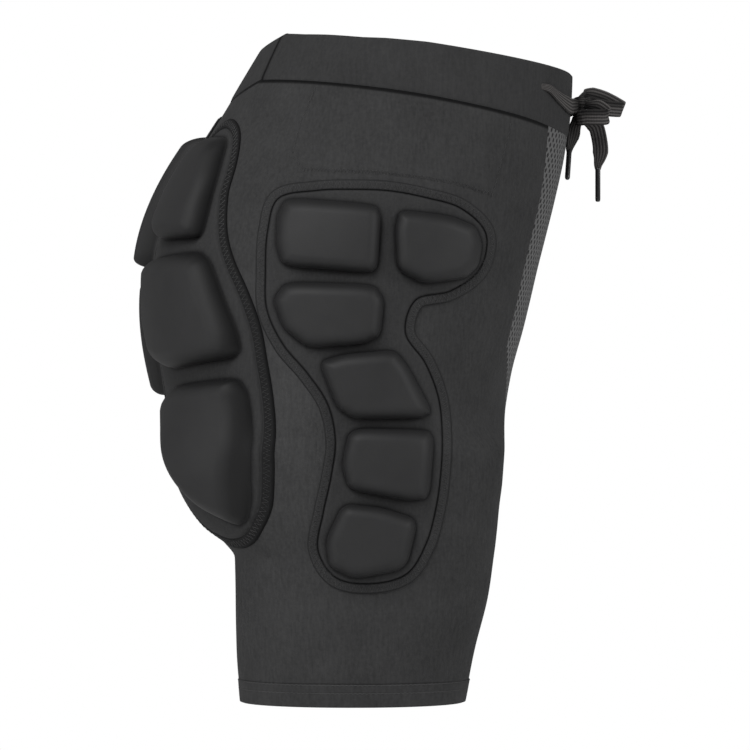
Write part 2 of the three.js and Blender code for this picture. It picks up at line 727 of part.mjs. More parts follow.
const group = new THREE.Group();
function piece(name, geometry, finish) {
  const mesh = new THREE.Mesh(geometry, new THREE.MeshStandardMaterial(finish));
  mesh.name = name;
  group.add(mesh);
}
function pair(name, geometry, finish) {
  piece(`${name}_right`, geometry, finish);
  piece(`${name}_left`, mirrored(geometry), finish);
}

pair('side_panel', sidePanel, fabricFinish);
piece('front_mesh', frontMesh, meshFinish);
piece('waistband_front', bandFront, bandFinish);
piece('waistband_back', bandBack, bandFinish);
pair('leg_hem', legHem(), fabricFinish);
pair('hip_pad_backing', hipBacking, quiltFinish);
hipCells.forEach((corners, i) => pair(`hip_cell_${i + 1}`,
  cell(hipFrame, corners, hipCellHeight, 12), cellFinish));
pair('seat_pad_backing', seatBacking, quiltFinish);
seatCells.forEach((corners, i) => pair(`seat_cell_${i + 1}`,
  cell(seatFrame, corners, seatCellHeight, 14), cellFinish));
piece('tailbone_backing', tailBacking, quiltFinish);
tailCells.forEach((corners, i) => piece(`tailbone_cell_${i + 1}`,
  cell(tailFrame, corners, [tailCellHeight, lowerTailCellHeight][i], 14), cellFinish));
piece('drawstring_lead_right', tape(lead(1), 10), tapeFinish);
piece('drawstring_lead_left', tape(lead(-1), 10), tapeFinish);
piece('bow_knot', mergeVertices(knot.deleteAttribute('normal').deleteAttribute('uv'), 1e-4),
  tapeFinish);
piece('bow_loop_right', tape(loopRight, tapeSteps), tapeFinish);
piece('bow_loop_left', tape(loopLeft, tapeSteps), tapeFinish);
piece('bow_tail_right', tape(tailRight, 7), tapeFinish);
piece('bow_tail_left', tape(tailLeft, 8), tapeFinish);
piece('aglet_right', aglet(tailRight, [12, -1.8, -20.7]), agletFinish);
piece('aglet_left', aglet(tailLeft, [0, 0, -1]), agletFinish);

export default group;
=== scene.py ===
# %% [markdown]
# # Padded hip protection shorts, worn shape, seen from the wearer's right
#
# The shorts are a snug dark knit body with a mesh front, a folded waistband tied with a flat
# tape, and quilted panels on both hips, both buttocks and the tailbone. Each panel carries
# raised foam cells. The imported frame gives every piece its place. This lesson rebuilds the
# pieces smoothly on the same body surface, then adds stitches, finishes, light and a camera.

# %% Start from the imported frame
import math

import bmesh
import bpy
import numpy as np
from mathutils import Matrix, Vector
from mathutils.geometry import delaunay_2d_cdt

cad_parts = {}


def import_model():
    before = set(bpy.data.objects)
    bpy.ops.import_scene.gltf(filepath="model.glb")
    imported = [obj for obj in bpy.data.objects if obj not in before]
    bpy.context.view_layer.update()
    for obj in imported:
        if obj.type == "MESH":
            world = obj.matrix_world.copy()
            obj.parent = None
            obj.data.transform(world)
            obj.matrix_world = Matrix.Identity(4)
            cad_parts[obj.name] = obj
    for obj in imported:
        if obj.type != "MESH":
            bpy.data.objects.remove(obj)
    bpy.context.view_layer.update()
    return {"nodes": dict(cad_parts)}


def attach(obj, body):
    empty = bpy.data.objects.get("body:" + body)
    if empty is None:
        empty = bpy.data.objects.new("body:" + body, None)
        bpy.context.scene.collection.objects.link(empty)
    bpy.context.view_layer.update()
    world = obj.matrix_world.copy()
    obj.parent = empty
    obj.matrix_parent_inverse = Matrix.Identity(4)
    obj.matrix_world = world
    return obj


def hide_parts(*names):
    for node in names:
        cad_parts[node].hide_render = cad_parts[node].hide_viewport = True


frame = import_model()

MM = 0.001
print("frame nodes:", len(frame["nodes"]))

# %% [markdown]
# ## The sizes
#
# These are the frame's own sizes, in millimetres. The wearer faces -Y and the wearer's right
# is at -X. Two ways of measuring are used all through: *side* is the distance out from the
# centre plane, and *fore* is the distance forward.

# %% Sizes of the body, bands and pads
LENGTH_TO_HEM = 447.0
FRONT_REACH = 106.0
SEAT_REACH = 188.5
HIP_HALF_WIDTH = 165.0
FABRIC = 1.8
SEAM_GAP = 0.3

BAND_THICKNESS = 3.0
BAND_PROUD = 0.5
BAND_SIDE_HEIGHT = 35.0
BAND_EXTRA_FRONT = 10.0
BAND_EXTRA_BACK = 4.0
RIM_SLOPE = 0.143
RIM_BACK_DIP = 12.0
RIM_DIP_HALF_WIDTH = 70.0
BAND_SEAM_SIDE = 74.0

HEM_HEIGHT = 16.0
HEM_THICKNESS = 3.0
HEM_PROUD = 0.5

MESH_HALF_WIDTH = 77.0
MESH_STRAIGHT_DOWN = 204.0
MESH_END_HALF_WIDTH = 16.0
MESH_END_DOWN = 262.0

CELL_BASE = 2.45
FLANGE = 6.8
HIP_CELL = 9.0
SEAT_CELL = 13.0
TAIL_CELL = 14.0
LOWER_TAIL_CELL = 9.0

TAPE_WIDTH = 11.0
TAPE_THICKNESS = 1.6
TAPE_CLEARANCE = 0.6
TAPE_SQUEEZED = 0.5
SQUEEZE_REACH = 9.0
END_SQUEEZED = 0.36
EYELET_REACH = 50.0
TIP_REACH = 12.0
LEAD_SAG = 3.2
KNOT_HALF_WIDTH = 6.0
KNOT_HALF_HEIGHT = 6.5
AGLET_LENGTH = 24.0
AGLET_RADIUS = 1.8

DETAIL = 1.0
print("hem below the waist:", LENGTH_TO_HEM, "mm")

# %% [markdown]
# ## The body's cross sections
#
# A knit garment takes the shape of the body inside it, so one surface serves every piece.
# Each row is a level section of the right half: how far down, how far it reaches forward and
# back, how far out, and where its inner side is. Above the crotch the inner side lies past
# the centre plane, because the section is the whole torso's. Below, it is the inside of the
# leg. The shares are of the sizes above.

# %% Section table
SECTIONS = np.array([
    # down, front, back, outer, inner, squareness
    [-0.05, 0.99, 0.55, 0.81, -0.81, 2.05],
    [0.019, 0.97, 0.645, 0.83, -0.83, 2.1],
    [0.086, 0.953, 0.74, 0.855, -0.855, 2.15],
    [0.154, 0.92, 0.838, 0.891, -0.891, 2.2],
    [0.232, 0.85, 0.933, 0.933, -0.933, 2.3],
    [0.333, 0.742, 1.0, 0.976, -0.976, 2.3],
    [0.423, 0.651, 0.995, 0.994, -0.994, 2.3],
    [0.495, 0.571, 0.971, 1.0, -1.0, 2.3],
    [0.549, 0.53, 0.952, 1.0, -0.96, 2.3],
    [0.574, 0.516, 0.941, 0.997, -0.72, 2.3],
    [0.596, 0.508, 0.935, 0.994, -0.38, 2.3],
    [0.617, 0.502, 0.928, 0.994, -0.06, 2.3],
    [0.635, 0.496, 0.918, 0.991, 0.018, 2.3],
    [0.667, 0.486, 0.897, 0.985, 0.03, 2.3],
    [0.7, 0.47, 0.859, 0.978, 0.036, 2.25],
    [0.731, 0.458, 0.806, 0.972, 0.042, 2.2],
    [0.758, 0.445, 0.732, 0.966, 0.048, 2.2],
    [0.78, 0.432, 0.697, 0.963, 0.055, 2.15],
    [0.842, 0.392, 0.695, 0.944, 0.067, 2.1],
    [0.916, 0.316, 0.69, 0.925, 0.079, 2.1],
    [1.01, 0.238, 0.674, 0.901, 0.091, 2.1],
])


def table_tangents(rows):
    """Slopes that keep a table's curve smooth and free of overshoot."""
    slopes = np.diff(rows[:, 1:], axis=0) / np.diff(rows[:, :1], axis=0)
    before, after = slopes[:-1], slopes[1:]
    total = before + after
    total[total == 0] = 1.0
    middle = np.where(before * after <= 0, 0.0, 2 * before * after / total)
    return np.vstack([slopes[:1], middle, slopes[-1:]])


TANGENTS = table_tangents(SECTIONS)


def section_at(z):
    """side, half side, fore, half fore and squareness of the sections at heights z."""
    down = np.clip(-np.asarray(z, float) / LENGTH_TO_HEM, SECTIONS[0, 0], SECTIONS[-1, 0])
    k = np.clip(np.searchsorted(SECTIONS[:, 0], down, "right") - 1, 0, len(SECTIONS) - 2)
    step = SECTIONS[k + 1, 0] - SECTIONS[k, 0]
    t = ((down - SECTIONS[k, 0]) / step)[..., None]
    step = step[..., None]
    rows = ((2 * t**3 - 3 * t**2 + 1) * SECTIONS[k, 1:] + (3 * t**2 - 2 * t**3) * SECTIONS[k + 1, 1:]
            + (t**3 - 2 * t**2 + t) * step * TANGENTS[k] + (t**3 - t**2) * step * TANGENTS[k + 1])
    front, back = FRONT_REACH * rows[..., 0], -SEAT_REACH * rows[..., 1]
    outer, inner = HIP_HALF_WIDTH * rows[..., 2], HIP_HALF_WIDTH * rows[..., 3]
    return (outer + inner) / 2, (outer - inner) / 2, (front + back) / 2, (front - back) / 2, rows[..., 4]


def surface(turn, z, lift=0.0):
    """Points of the right half as side and fore: turn 0 is the outer side, a quarter turn the front."""
    side, half_side, fore, half_fore, square = section_at(z)
    half_side, half_fore = half_side + lift, half_fore + lift
    reach = (np.abs(np.cos(turn) / half_side) ** square
             + np.abs(np.sin(turn) / half_fore) ** square) ** (-1 / square)
    return side + reach * np.cos(turn), fore + reach * np.sin(turn)


def world(side, fore, z, sign=1):
    """Points in the frame, in millimetres. A sign of -1 gives the left side's mirror image."""
    side, fore, z = np.broadcast_arrays(side, fore, z)
    return np.stack([-sign * side, -fore, z], axis=-1)


for height in (0.0, -180.0, -440.0):
    turns = np.linspace(0, 2 * math.pi, 361)
    ring = world(*surface(turns, np.full(361, height)), height)
    print(f"girth at {height:.0f} mm: {np.linalg.norm(np.diff(ring, axis=0), axis=1).sum():.0f} mm")

# %% [markdown]
# ## Heights of the bands
#
# The rim slopes up towards the back and dips again at the centre back. The band is taller in
# front, where it carries the tape.

# %% Rim, band and hem heights


def rim_height(turn):
    side, fore = surface(turn, np.zeros_like(turn))
    inward = np.maximum(0, 1 - (side / RIM_DIP_HALF_WIDTH) ** 2)
    return -RIM_SLOPE * fore - np.where(np.sin(turn) < 0, RIM_BACK_DIP * inward, 0)


def band_bottom(turn):
    extra = np.where(np.sin(turn) > 0, BAND_EXTRA_FRONT, BAND_EXTRA_BACK)
    return rim_height(turn) - BAND_SIDE_HEIGHT - extra * np.sin(turn) ** 2


EASE_FORE = [-130, -112, -100, -88, -70, -45, -29, 0]
EASE_DEPTH = [0, 3.0, 4.6, 4.6, 3.6, 2.8, 1.4, 0]


def rim_top(turn):
    """The rim as it lies on the body: eased a little behind the side."""
    _, fore = surface(turn, np.zeros_like(turn))
    return rim_height(turn) - np.interp(fore, EASE_FORE, EASE_DEPTH)


HEM_TOP = -LENGTH_TO_HEM + HEM_HEIGHT
print("rim front and back:", rim_height(np.array([math.pi / 2, -math.pi / 2])).round(1))

# %% [markdown]
# ## Materials
#
# Every finish is dark, so what tells them apart is how rough they are and how fine their
# relief is: a matt knit, a lighter open mesh, a stitched flange, smooth moulded foam and a
# ribbed tape. Light and shade are also painted into the colour: each piece may store a factor
# that darkens it. This is painted shade in seams, grooves and creases, on the foam walls and
# in the tape's knot and loops, and a painted pool of light on the knit.
# A small class wraps a shader socket so that its maths reads like ordinary arithmetic.

# %% Shader helper


class Wire:
    """A shader value that can be added, multiplied and compared."""

    def __init__(self, tree, socket):
        self.tree, self.socket = tree, socket

    def _math(self, operation, *values):
        shader = Shader.of(self.tree)
        return shader.node("ShaderNodeMath", {"operation": operation}, dict(enumerate(values)))

    def __add__(self, other):
        return self._math("ADD", self, other)

    def __sub__(self, other):
        return self._math("SUBTRACT", self, other)

    def __mul__(self, other):
        return self._math("MULTIPLY", self, other)

    def __rsub__(self, other):
        return self._math("SUBTRACT", other, self)

    __radd__ = __add__
    __rmul__ = __mul__

    def sine(self):
        return self._math("SINE", self)

    def smaller(self, other):
        return self._math("MINIMUM", self, other)

    def clipped(self):
        return self._math("MINIMUM", self._math("MAXIMUM", self, 0.0), 1.0)

    def part(self):
        return self._math("FRACT", self)


class Shader:
    """One material's node tree, with a Principled surface."""

    def __init__(self, name, colour, roughness, **constants):
        self.material = bpy.data.materials.new(name)
        self.material.use_nodes = True
        self.tree = self.material.node_tree
        self.surface = self.tree.nodes["Principled BSDF"]
        self.surface.inputs["Base Color"].default_value = (*colour, 1)
        self.surface.inputs["Roughness"].default_value = roughness
        for key, value in constants.items():
            self.surface.inputs[key.replace("_", " ")].default_value = value

    @classmethod
    def of(cls, tree):
        shader = cls.__new__(cls)
        shader.tree = tree
        return shader

    def node(self, kind, settings=None, inputs=None, output=0):
        made = self.tree.nodes.new(kind)
        for key, value in (settings or {}).items():
            setattr(made, key, value)
        for key, value in (inputs or {}).items():
            if isinstance(value, Wire):
                self.tree.links.new(value.socket, made.inputs[key])
            else:
                made.inputs[key].default_value = value
        return Wire(self.tree, made.outputs[output])

    def place(self):
        return self.node("ShaderNodeTexCoord", output="Object")

    def uv(self, name):
        return self.node("ShaderNodeUVMap", {"uv_map": name})

    def axes(self, vector):
        split = self.tree.nodes.new("ShaderNodeSeparateXYZ")
        self.tree.links.new(vector.socket, split.inputs[0])
        return [Wire(self.tree, split.outputs[i]) for i in range(3)]

    def attribute(self, name):
        return self.node("ShaderNodeAttribute", {"attribute_name": name}, output="Fac")

    def noise(self, vector, scale, detail=2.0):
        return self.node("ShaderNodeTexNoise", None, {"Vector": vector, "Scale": scale, "Detail": detail})

    def scaled(self, vector, factors):
        return self.node("ShaderNodeVectorMath", {"operation": "MULTIPLY"}, {0: vector, 1: factors})

    def feed(self, name, wire):
        self.tree.links.new(wire.socket, self.surface.inputs[name])

    def blend(self, amount, first, second):
        """Colour between two colours or colour sockets."""
        mix = self.tree.nodes.new("ShaderNodeMix")
        mix.data_type = "RGBA"
        self.tree.links.new(amount.socket, mix.inputs[0])
        for socket, value in ((mix.inputs[6], first), (mix.inputs[7], second)):
            if isinstance(value, Wire):
                self.tree.links.new(value.socket, socket)
            else:
                socket.default_value = (*value, 1)
        return Wire(self.tree, mix.outputs[2])

    def tint(self, amount, dark, light):
        """Base colour between a dark and a light one."""
        self.feed("Base Color", self.blend(amount, dark, light))

    def relief(self, height, strength, distance):
        bump = self.tree.nodes.new("ShaderNodeBump")
        bump.inputs["Strength"].default_value = strength
        bump.inputs["Distance"].default_value = distance
        self.tree.links.new(height.socket, bump.inputs["Height"])
        self.tree.links.new(bump.outputs[0], self.surface.inputs["Normal"])


def grey(value, warm=0.0):
    return (value * (1 + warm), value, value * (1 - 0.5 * warm) + 0.0005)


# %% Knit, band and foam finishes


BLACK = (0.0012, 0.0012, 0.0014)


def knit(name, dark, light, roughness, speckle, with_painted_shading=False):
    """Matt jersey: upright ribs, fine mottling and a fine grain. A stored factor can darken its colour
    towards black: painted shade.
    """
    shader = Shader(name, dark, roughness, Specular_IOR_Level=0.12)
    place = shader.place()
    mottle = shader.noise(place, speckle, 3.0)
    ribs = shader.noise(shader.scaled(place, (1.0, 1.0, 0.2)), speckle * 1.3, 2.0)
    broad = shader.noise(place, 28.0, 2.0)
    colour = shader.blend((mottle * 0.6 + ribs * 0.6 + broad * 0.5 - 0.35).clipped(), dark, light)
    if with_painted_shading:
        # Painted shade: the stored factor darkens the cloth towards black.
        colour = shader.blend(shader.attribute("tone"), BLACK, colour)
    shader.feed("Base Color", colour)
    shader.relief(shader.noise(place, 900.0, 2.0), 0.35, 0.0004)
    return shader.material


fabric_look = knit("knit_fabric", grey(0.021), grey(0.055), 0.85, 420.0, with_painted_shading=True)
hem_look = knit("hem_knit", grey(0.017), grey(0.044), 0.85, 420.0)
band_look = knit("waistband_knit", grey(0.017), grey(0.036), 0.82, 380.0, with_painted_shading=True)
quilt_look = knit("quilted_fabric", grey(0.018), grey(0.036), 0.82, 520.0, with_painted_shading=True)
thread_look = knit("stitch_thread", grey(0.043), grey(0.074), 0.7, 700.0)

foam = Shader("moulded_foam", grey(0.02), 0.6, Specular_IOR_Level=0.22)
foam_place = foam.place()
facing_cloth = foam.blend(foam.noise(foam_place, 60.0, 2.0), grey(0.0155), grey(0.0205))
# Painted shade: the stored factor darkens the cells towards black.
foam.feed("Base Color", foam.blend(foam.attribute("tone"), BLACK, facing_cloth))
foam.relief(foam.noise(foam_place, 1100.0, 2.0), 0.18, 0.0003)
foam_look = foam.material

aglet_shader = Shader("aglet_plastic", grey(0.006), 0.3, Specular_IOR_Level=0.5)
aglet_look = aglet_shader.material
print("materials:", [m.name for m in bpy.data.materials])

# %% [markdown]
# The mesh panel is an open warp knit with small round holes in offset rows. The pattern
# follows the panel's own UV map, in millimetres, so the holes stay round on the curve. Dark
# spots with a soft rim read as holes at this size, and the relief gives them depth.

# %% Mesh and tape finishes
HOLE_ACROSS, HOLE_DOWN = 7.6, 7.0
mesh_shader = Shader("mesh_fabric", grey(0.06), 0.85, Specular_IOR_Level=0.12)
across_mm, down_mm, _ = mesh_shader.axes(mesh_shader.uv("cloth"))


def hole_field(shift):
    """Distance from the nearest hole centre of one of the two offset grids."""
    u = ((across_mm * (1 / HOLE_ACROSS) + shift).part() - 0.5) * HOLE_ACROSS
    v = ((down_mm * (1 / HOLE_DOWN) + shift).part() - 0.5) * HOLE_DOWN
    return mesh_shader.node("ShaderNodeMath", {"operation": "SQRT"}, {0: u * u + v * v})


hole = hole_field(0.0).smaller(hole_field(0.5))
web = ((hole - 1.15) * 1.3).clipped()
mesh_shader.tint(web, grey(0.02), grey(0.102))
mesh_shader.relief(web, 0.7, 0.0006)
mesh_look = mesh_shader.material

tape = Shader("flat_tape", grey(0.009, 0.06), 0.8, Specular_IOR_Level=0.15)
tape_along, tape_across, _ = tape.axes(tape.uv("tape"))
rib = (tape_across * (2 * math.pi * 0.45)).sine() * 0.5 + 0.5
pick = (tape_along * (2 * math.pi * 0.9)).sine() * 0.5 + 0.5
weave = tape.blend(rib * 0.8 + pick * 0.2, grey(0.007, 0.06), grey(0.082, 0.06))
# Painted shade: the stored factor darkens the tape towards black.
tape.feed("Base Color", tape.blend(tape.attribute("tone"), BLACK, weave))
tape.relief(rib * 0.7 + pick * 0.3, 0.6, 0.0004)
tape_look = tape.material
print("mesh hole pitch:", HOLE_ACROSS, HOLE_DOWN, "mm")

# %% [markdown]
# ## Making meshes
#
# Pieces are drawn in millimetres and stored in metres, with their place in the mesh itself.
# A grid helper covers sheets and tubes, and smooth shading hides the facets.

# %% Mesh helpers


def add_piece(name, points_mm, faces, look, uv=None, uv_name="cloth", tone=None):
    """A smooth mesh piece. uv holds one pair for each vertex, and the painted shade factor one number."""
    data = bpy.data.meshes.new(name)
    data.from_pydata((np.asarray(points_mm) * MM).tolist(), [], [tuple(map(int, f)) for f in faces])
    data.polygons.foreach_set("use_smooth", [True] * len(data.polygons))
    if uv is not None:
        layer = data.uv_layers.new(name=uv_name)
        corner = np.empty(len(data.loops), int)
        data.loops.foreach_get("vertex_index", corner)
        layer.data.foreach_set("uv", np.asarray(uv, float)[corner].ravel())
    if tone is not None:
        layer = data.attributes.new("tone", "FLOAT", "POINT")
        layer.data.foreach_set("value", np.asarray(tone, float).ravel())
    data.materials.append(look)
    piece = bpy.data.objects.new(name, data)
    bpy.context.scene.collection.objects.link(piece)
    return piece


def outward(piece):
    """Closed pieces face out."""
    work = bmesh.new()
    work.from_mesh(piece.data)
    bmesh.ops.recalc_face_normals(work, faces=work.faces)
    work.to_mesh(piece.data)
    work.free()


def grid_faces(rows, cols, wrap_rows=False, wrap_cols=False):
    i, j = np.meshgrid(np.arange(rows if wrap_rows else rows - 1),
                       np.arange(cols if wrap_cols else cols - 1), indexing="ij")
    i2, j2 = (i + 1) % rows, (j + 1) % cols
    return np.stack([i * cols + j, i * cols + j2, i2 * cols + j2, i2 * cols + j], -1).reshape(-1, 4)


def apply_modifier(piece, kind, **settings):
    modifier = piece.modifiers.new(kind.lower(), kind)
    for key, value in settings.items():
        setattr(modifier, key, value)
    graph = bpy.context.evaluated_depsgraph_get()
    graph.update()
    baked = bpy.data.meshes.new_from_object(piece.evaluated_get(graph))
    piece.modifiers.remove(modifier)
    old = piece.data
    piece.data = baked
    name = old.name
    bpy.data.meshes.remove(old)
    baked.name = name


def count(piece):
    piece.data.calc_loop_triangles()
    return len(piece.data.loop_triangles)


# %% [markdown]
# ## The knit body
#
# Each side panel is half of the torso and a whole leg in one sheet, as the pattern is cut.
# The sheet is drawn right round, sliced at the centre plane and along the mesh panel's edge,
# and then given its thickness. The front parts of both halves join into the mesh panel. A
# very slight unevenness keeps the knit from looking like a shell.

# %% Body sheets


def ripple(turn, z):
    """Soft unevenness of the cloth in millimetres."""
    low = np.sin(3 * turn + z / 31) * np.sin(z / 23 + 1.3) + np.sin(7 * turn - z / 17)
    fine = np.sin(11 * turn + z / 9) * np.sin(z / 12.5)
    return -0.22 + 0.12 * low + 0.05 * fine


TUCK = 1.0
CENTRE_SEAM = 0.02
BAND_SHADE = 1.2
SHADE_AWAY_FROM_POOL = 0.76
LIGHT_POOL_FORE, LIGHT_POOL_HALF_WIDTH = -88.0, 45.0
LIGHT_POOL_HEIGHT, LIGHT_POOL_HALF_HEIGHT = -255.0, 110.0


def body_sheet():
    turns = np.linspace(0, 2 * math.pi, int(240 * DETAIL), endpoint=False)
    share = np.concatenate([[0, 0.0036, 0.0054, 0.0072, 0.009], np.linspace(0.0126, 1, int(200 * DETAIL))])
    turn, s = np.meshgrid(turns, share, indexing="xy")
    top, bottom = band_bottom(turn) + TUCK, HEM_TOP - TUCK
    z = top + (bottom - top) * s
    side, fore = surface(turn, z, ripple(turn, z))
    around = np.cumsum(np.hypot(np.diff(side, axis=1, prepend=side[:, -1:]),
                                np.diff(fore, axis=1, prepend=fore[:, -1:])), axis=1)
    uv = np.stack([around, z], -1).reshape(-1, 2)
    # Painted light and shade: a painted pool of light behind the hip, between the hip and seat pads. The
    # knit is darker everywhere else, and is painted dark just under the waistband, where shade falls in the
    # gap.
    across, up = (fore - LIGHT_POOL_FORE) / LIGHT_POOL_HALF_WIDTH, (z - LIGHT_POOL_HEIGHT) / LIGHT_POOL_HALF_HEIGHT
    below_band = top - TUCK - SEAM_GAP - z
    tone = SHADE_AWAY_FROM_POOL + (1 - SHADE_AWAY_FROM_POOL) * np.exp(-(across**2) - up**2)
    tone = tone * np.clip((below_band - 0.5) / BAND_SHADE, 0.05, 1)
    return world(side, fore, z).reshape(-1, 3), grid_faces(*z.shape, wrap_cols=True), uv, tone


def slice_at(work, point, normal, clear_outer=False):
    bmesh.ops.bisect_plane(work, geom=work.verts[:] + work.edges[:] + work.faces[:], dist=1e-7,
                           plane_co=Vector(point) * MM, plane_no=Vector(normal), clear_outer=clear_outer)


def in_mesh_panel(centre):
    x, y, z = abs(centre.x) / MM, centre.y / MM, centre.z / MM
    if y > 0 or z < -MESH_END_DOWN:
        return False
    if z > -MESH_STRAIGHT_DOWN:
        return x < MESH_HALF_WIDTH
    share = (-z - MESH_STRAIGHT_DOWN) / (MESH_END_DOWN - MESH_STRAIGHT_DOWN)
    return x < MESH_HALF_WIDTH + (MESH_END_HALF_WIDTH - MESH_HALF_WIDTH) * share


def half_body(keep_mesh):
    """The right half's sheet, cut to its side panel or to its share of the mesh panel."""
    points, faces, uv, tone = body_sheet()
    piece = add_piece("half", points, faces, fabric_look, uv, tone=tone)
    work = bmesh.new()
    work.from_mesh(piece.data)
    edge = 0.0 if keep_mesh else CENTRE_SEAM
    slice_at(work, (-edge, 0, 0), (1, 0, 0), clear_outer=True)
    slice_at(work, (-MESH_HALF_WIDTH, 0, 0), (1, 0, 0))
    run, drop = MESH_HALF_WIDTH - MESH_END_HALF_WIDTH, MESH_END_DOWN - MESH_STRAIGHT_DOWN
    slice_at(work, (-MESH_HALF_WIDTH, 0, -MESH_STRAIGHT_DOWN), (drop, 0, run))
    slice_at(work, (0, 0, -MESH_STRAIGHT_DOWN), (0, 0, 1))
    slice_at(work, (0, 0, -MESH_END_DOWN), (0, 0, 1))
    gone = [f for f in work.faces if in_mesh_panel(f.calc_center_median()) != keep_mesh]
    bmesh.ops.delete(work, geom=gone, context="FACES")
    work.to_mesh(piece.data)
    work.free()
    return piece


def mirror_copy(piece, name):
    """The left side's mirror image of a right-side piece."""
    data = piece.data.copy()
    data.name = name
    data.transform(((-1, 0, 0, 0), (0, 1, 0, 0), (0, 0, 1, 0), (0, 0, 0, 1)))
    data.flip_normals()
    copy = bpy.data.objects.new(name, data)
    bpy.context.scene.collection.objects.link(copy)
    return copy


def thicken(piece, thickness):
    """Give a sheet its thickness inwards, so that its drawn side stays the outer one."""
    apply_modifier(piece, "SOLIDIFY", thickness=thickness * MM, offset=1.0, use_rim=True)
    outward(piece)


side_right = half_body(False)
side_right.name = side_right.data.name = "side_panel_right_knit"
thicken(side_right, FABRIC)
side_left = mirror_copy(side_right, "side_panel_left_knit")

mesh_half = half_body(True)
mesh_other = mirror_copy(mesh_half, "other_half")
front_work = bmesh.new()
front_work.from_mesh(mesh_half.data)
front_work.from_mesh(mesh_other.data)
bmesh.ops.remove_doubles(front_work, verts=front_work.verts, dist=1e-6)
front_work.to_mesh(mesh_half.data)
front_work.free()
bpy.data.objects.remove(mesh_other)
mesh_half.name = mesh_half.data.name = "front_mesh_knit"
mesh_half.data.materials[0] = mesh_look
thicken(mesh_half, 1.2)
print("side panel triangles:", count(side_right), "mesh panel:", count(mesh_half))

# %% [markdown]
# ## Bands
#
# The waistband and the leg hems are folded strips. Their cross section is a thin loop with a
# rounded fold, swept round the body. The waistband is cut into a long front and a short back
# at two rear seams, which show as dark slanting lines of painted shade. The hems have two stitched lines.

# %% Waistband and hems


def band_profile(thickness, bulge, grooves=()):
    """Loop of (lift, share of height) round a folded strip, outside first."""
    share = np.linspace(0, 1, 33)
    outside = bulge * np.sin(math.pi * share) ** 0.7
    for place, depth in grooves:
        outside = outside - depth * np.exp(-((share - place) / 0.025) ** 2)
    edge = np.minimum(np.minimum(share, 1 - share) / 0.045, 1)
    round_in = (1 - np.sqrt(1 - (1 - edge) ** 2)) * thickness * 0.45
    outer = np.stack([outside - round_in, share], -1)
    inner = np.stack([-thickness + round_in, share], -1)[::-1]
    return np.vstack([outer, inner])


SEAM_SLANT_TOP, SEAM_SLANT_BOTTOM, SLANT_REACH = 0.042, -0.021, 0.2
SEAM_SHADE, SEAM_SHADE_WIDTH = 1.0, 0.016


def band_piece(name, turns, top, bottom, profile, proud, look, closed):
    """A folded strip. An open one has slanting ends, with painted shade along the seam."""
    turn, k = np.meshgrid(turns, np.arange(len(profile)), indexing="ij")
    tone = None
    if not closed:
        from_end = np.minimum(turn - turns[0], turns[-1] - turn)
        tone = (1 - SEAM_SHADE * np.exp(-((from_end / SEAM_SHADE_WIDTH) ** 2))).ravel()
        slant = SEAM_SLANT_TOP + (SEAM_SLANT_BOTTOM - SEAM_SLANT_TOP) * profile[k, 1]
        for seam, sign in ((SEAM_TURN, -1), (-math.pi - SEAM_TURN, 1)):
            away = (turn - seam + math.pi) % (2 * math.pi) - math.pi
            turn = turn + sign * slant * np.exp(-((away / SLANT_REACH) ** 2))
    lift = proud + profile[k, 0]
    z = top(turn) + (bottom(turn) - top(turn)) * profile[k, 1]
    points = world(*surface(turn, z, lift), z).reshape(-1, 3)
    rows, cols = turn.shape
    faces = [tuple(f) for f in grid_faces(rows, cols, wrap_rows=closed, wrap_cols=True)]
    if not closed:
        faces += [tuple(range(cols)), tuple((rows - 1) * cols + np.arange(cols)[::-1])]
    piece = add_piece(name, points, faces, look, tone=tone)
    outward(piece)
    return piece


def turn_at_side(wanted):
    turns = np.linspace(-math.pi / 2, 0, 4000)
    side, _ = surface(turns, np.full_like(turns, -BAND_SIDE_HEIGHT / 2))
    return float(np.interp(wanted, side, turns))


SEAM_TURN = turn_at_side(BAND_SEAM_SIDE)
SEAM_STEP = SEAM_GAP / 2 / HIP_HALF_WIDTH
waist_profile = band_profile(BAND_THICKNESS, 0.35, [(0.955, 0.35)])


def seamed_turns(start, end, number):
    """Even steps from seam to seam, with closer ones at both seams."""
    close = np.array([0.003, 0.006, 0.01, 0.014, 0.02])
    even = np.linspace(start, end, number)
    return np.concatenate([[start], start + close, even[(even > start + 0.024) & (even < end - 0.024)],
                           end - close[::-1], [end]])


front_turns = seamed_turns(SEAM_TURN + SEAM_STEP, math.pi - SEAM_TURN - SEAM_STEP, int(260 * DETAIL))
back_turns = seamed_turns(-math.pi - SEAM_TURN + SEAM_STEP, SEAM_TURN - SEAM_STEP, int(90 * DETAIL))
band_front = band_piece("waistband_front_knit", front_turns, rim_top, band_bottom, waist_profile,
                        BAND_PROUD - 0.2, band_look, False)
band_back = band_piece("waistband_back_knit", back_turns, rim_top, band_bottom, waist_profile,
                       BAND_PROUD - 0.2, band_look, False)

hem_profile = band_profile(HEM_THICKNESS, 0.1, [(0.06, 0.4), (0.4, 0.3)])
hem_turns = np.linspace(0, 2 * math.pi, int(240 * DETAIL), endpoint=False)
hem_right = band_piece("leg_hem_right_knit", hem_turns, lambda t: np.full_like(t, HEM_TOP),
                       lambda t: np.full_like(t, -LENGTH_TO_HEM), hem_profile, HEM_PROUD - 0.2,
                       hem_look, True)
hem_left = mirror_copy(hem_right, "leg_hem_left_knit")
print("waistband triangles:", count(band_front) + count(band_back), "hem:", count(hem_right))

# %% [markdown]
# ## Pads
#
# A pad is drawn flat in its own view, across and down, and then laid on the body. The hip
# pad looks straight out to the side, the seat pad looks out and back, and the tailbone pad
# looks straight back. The edge tables give the quilted panel inside its stitched flange.

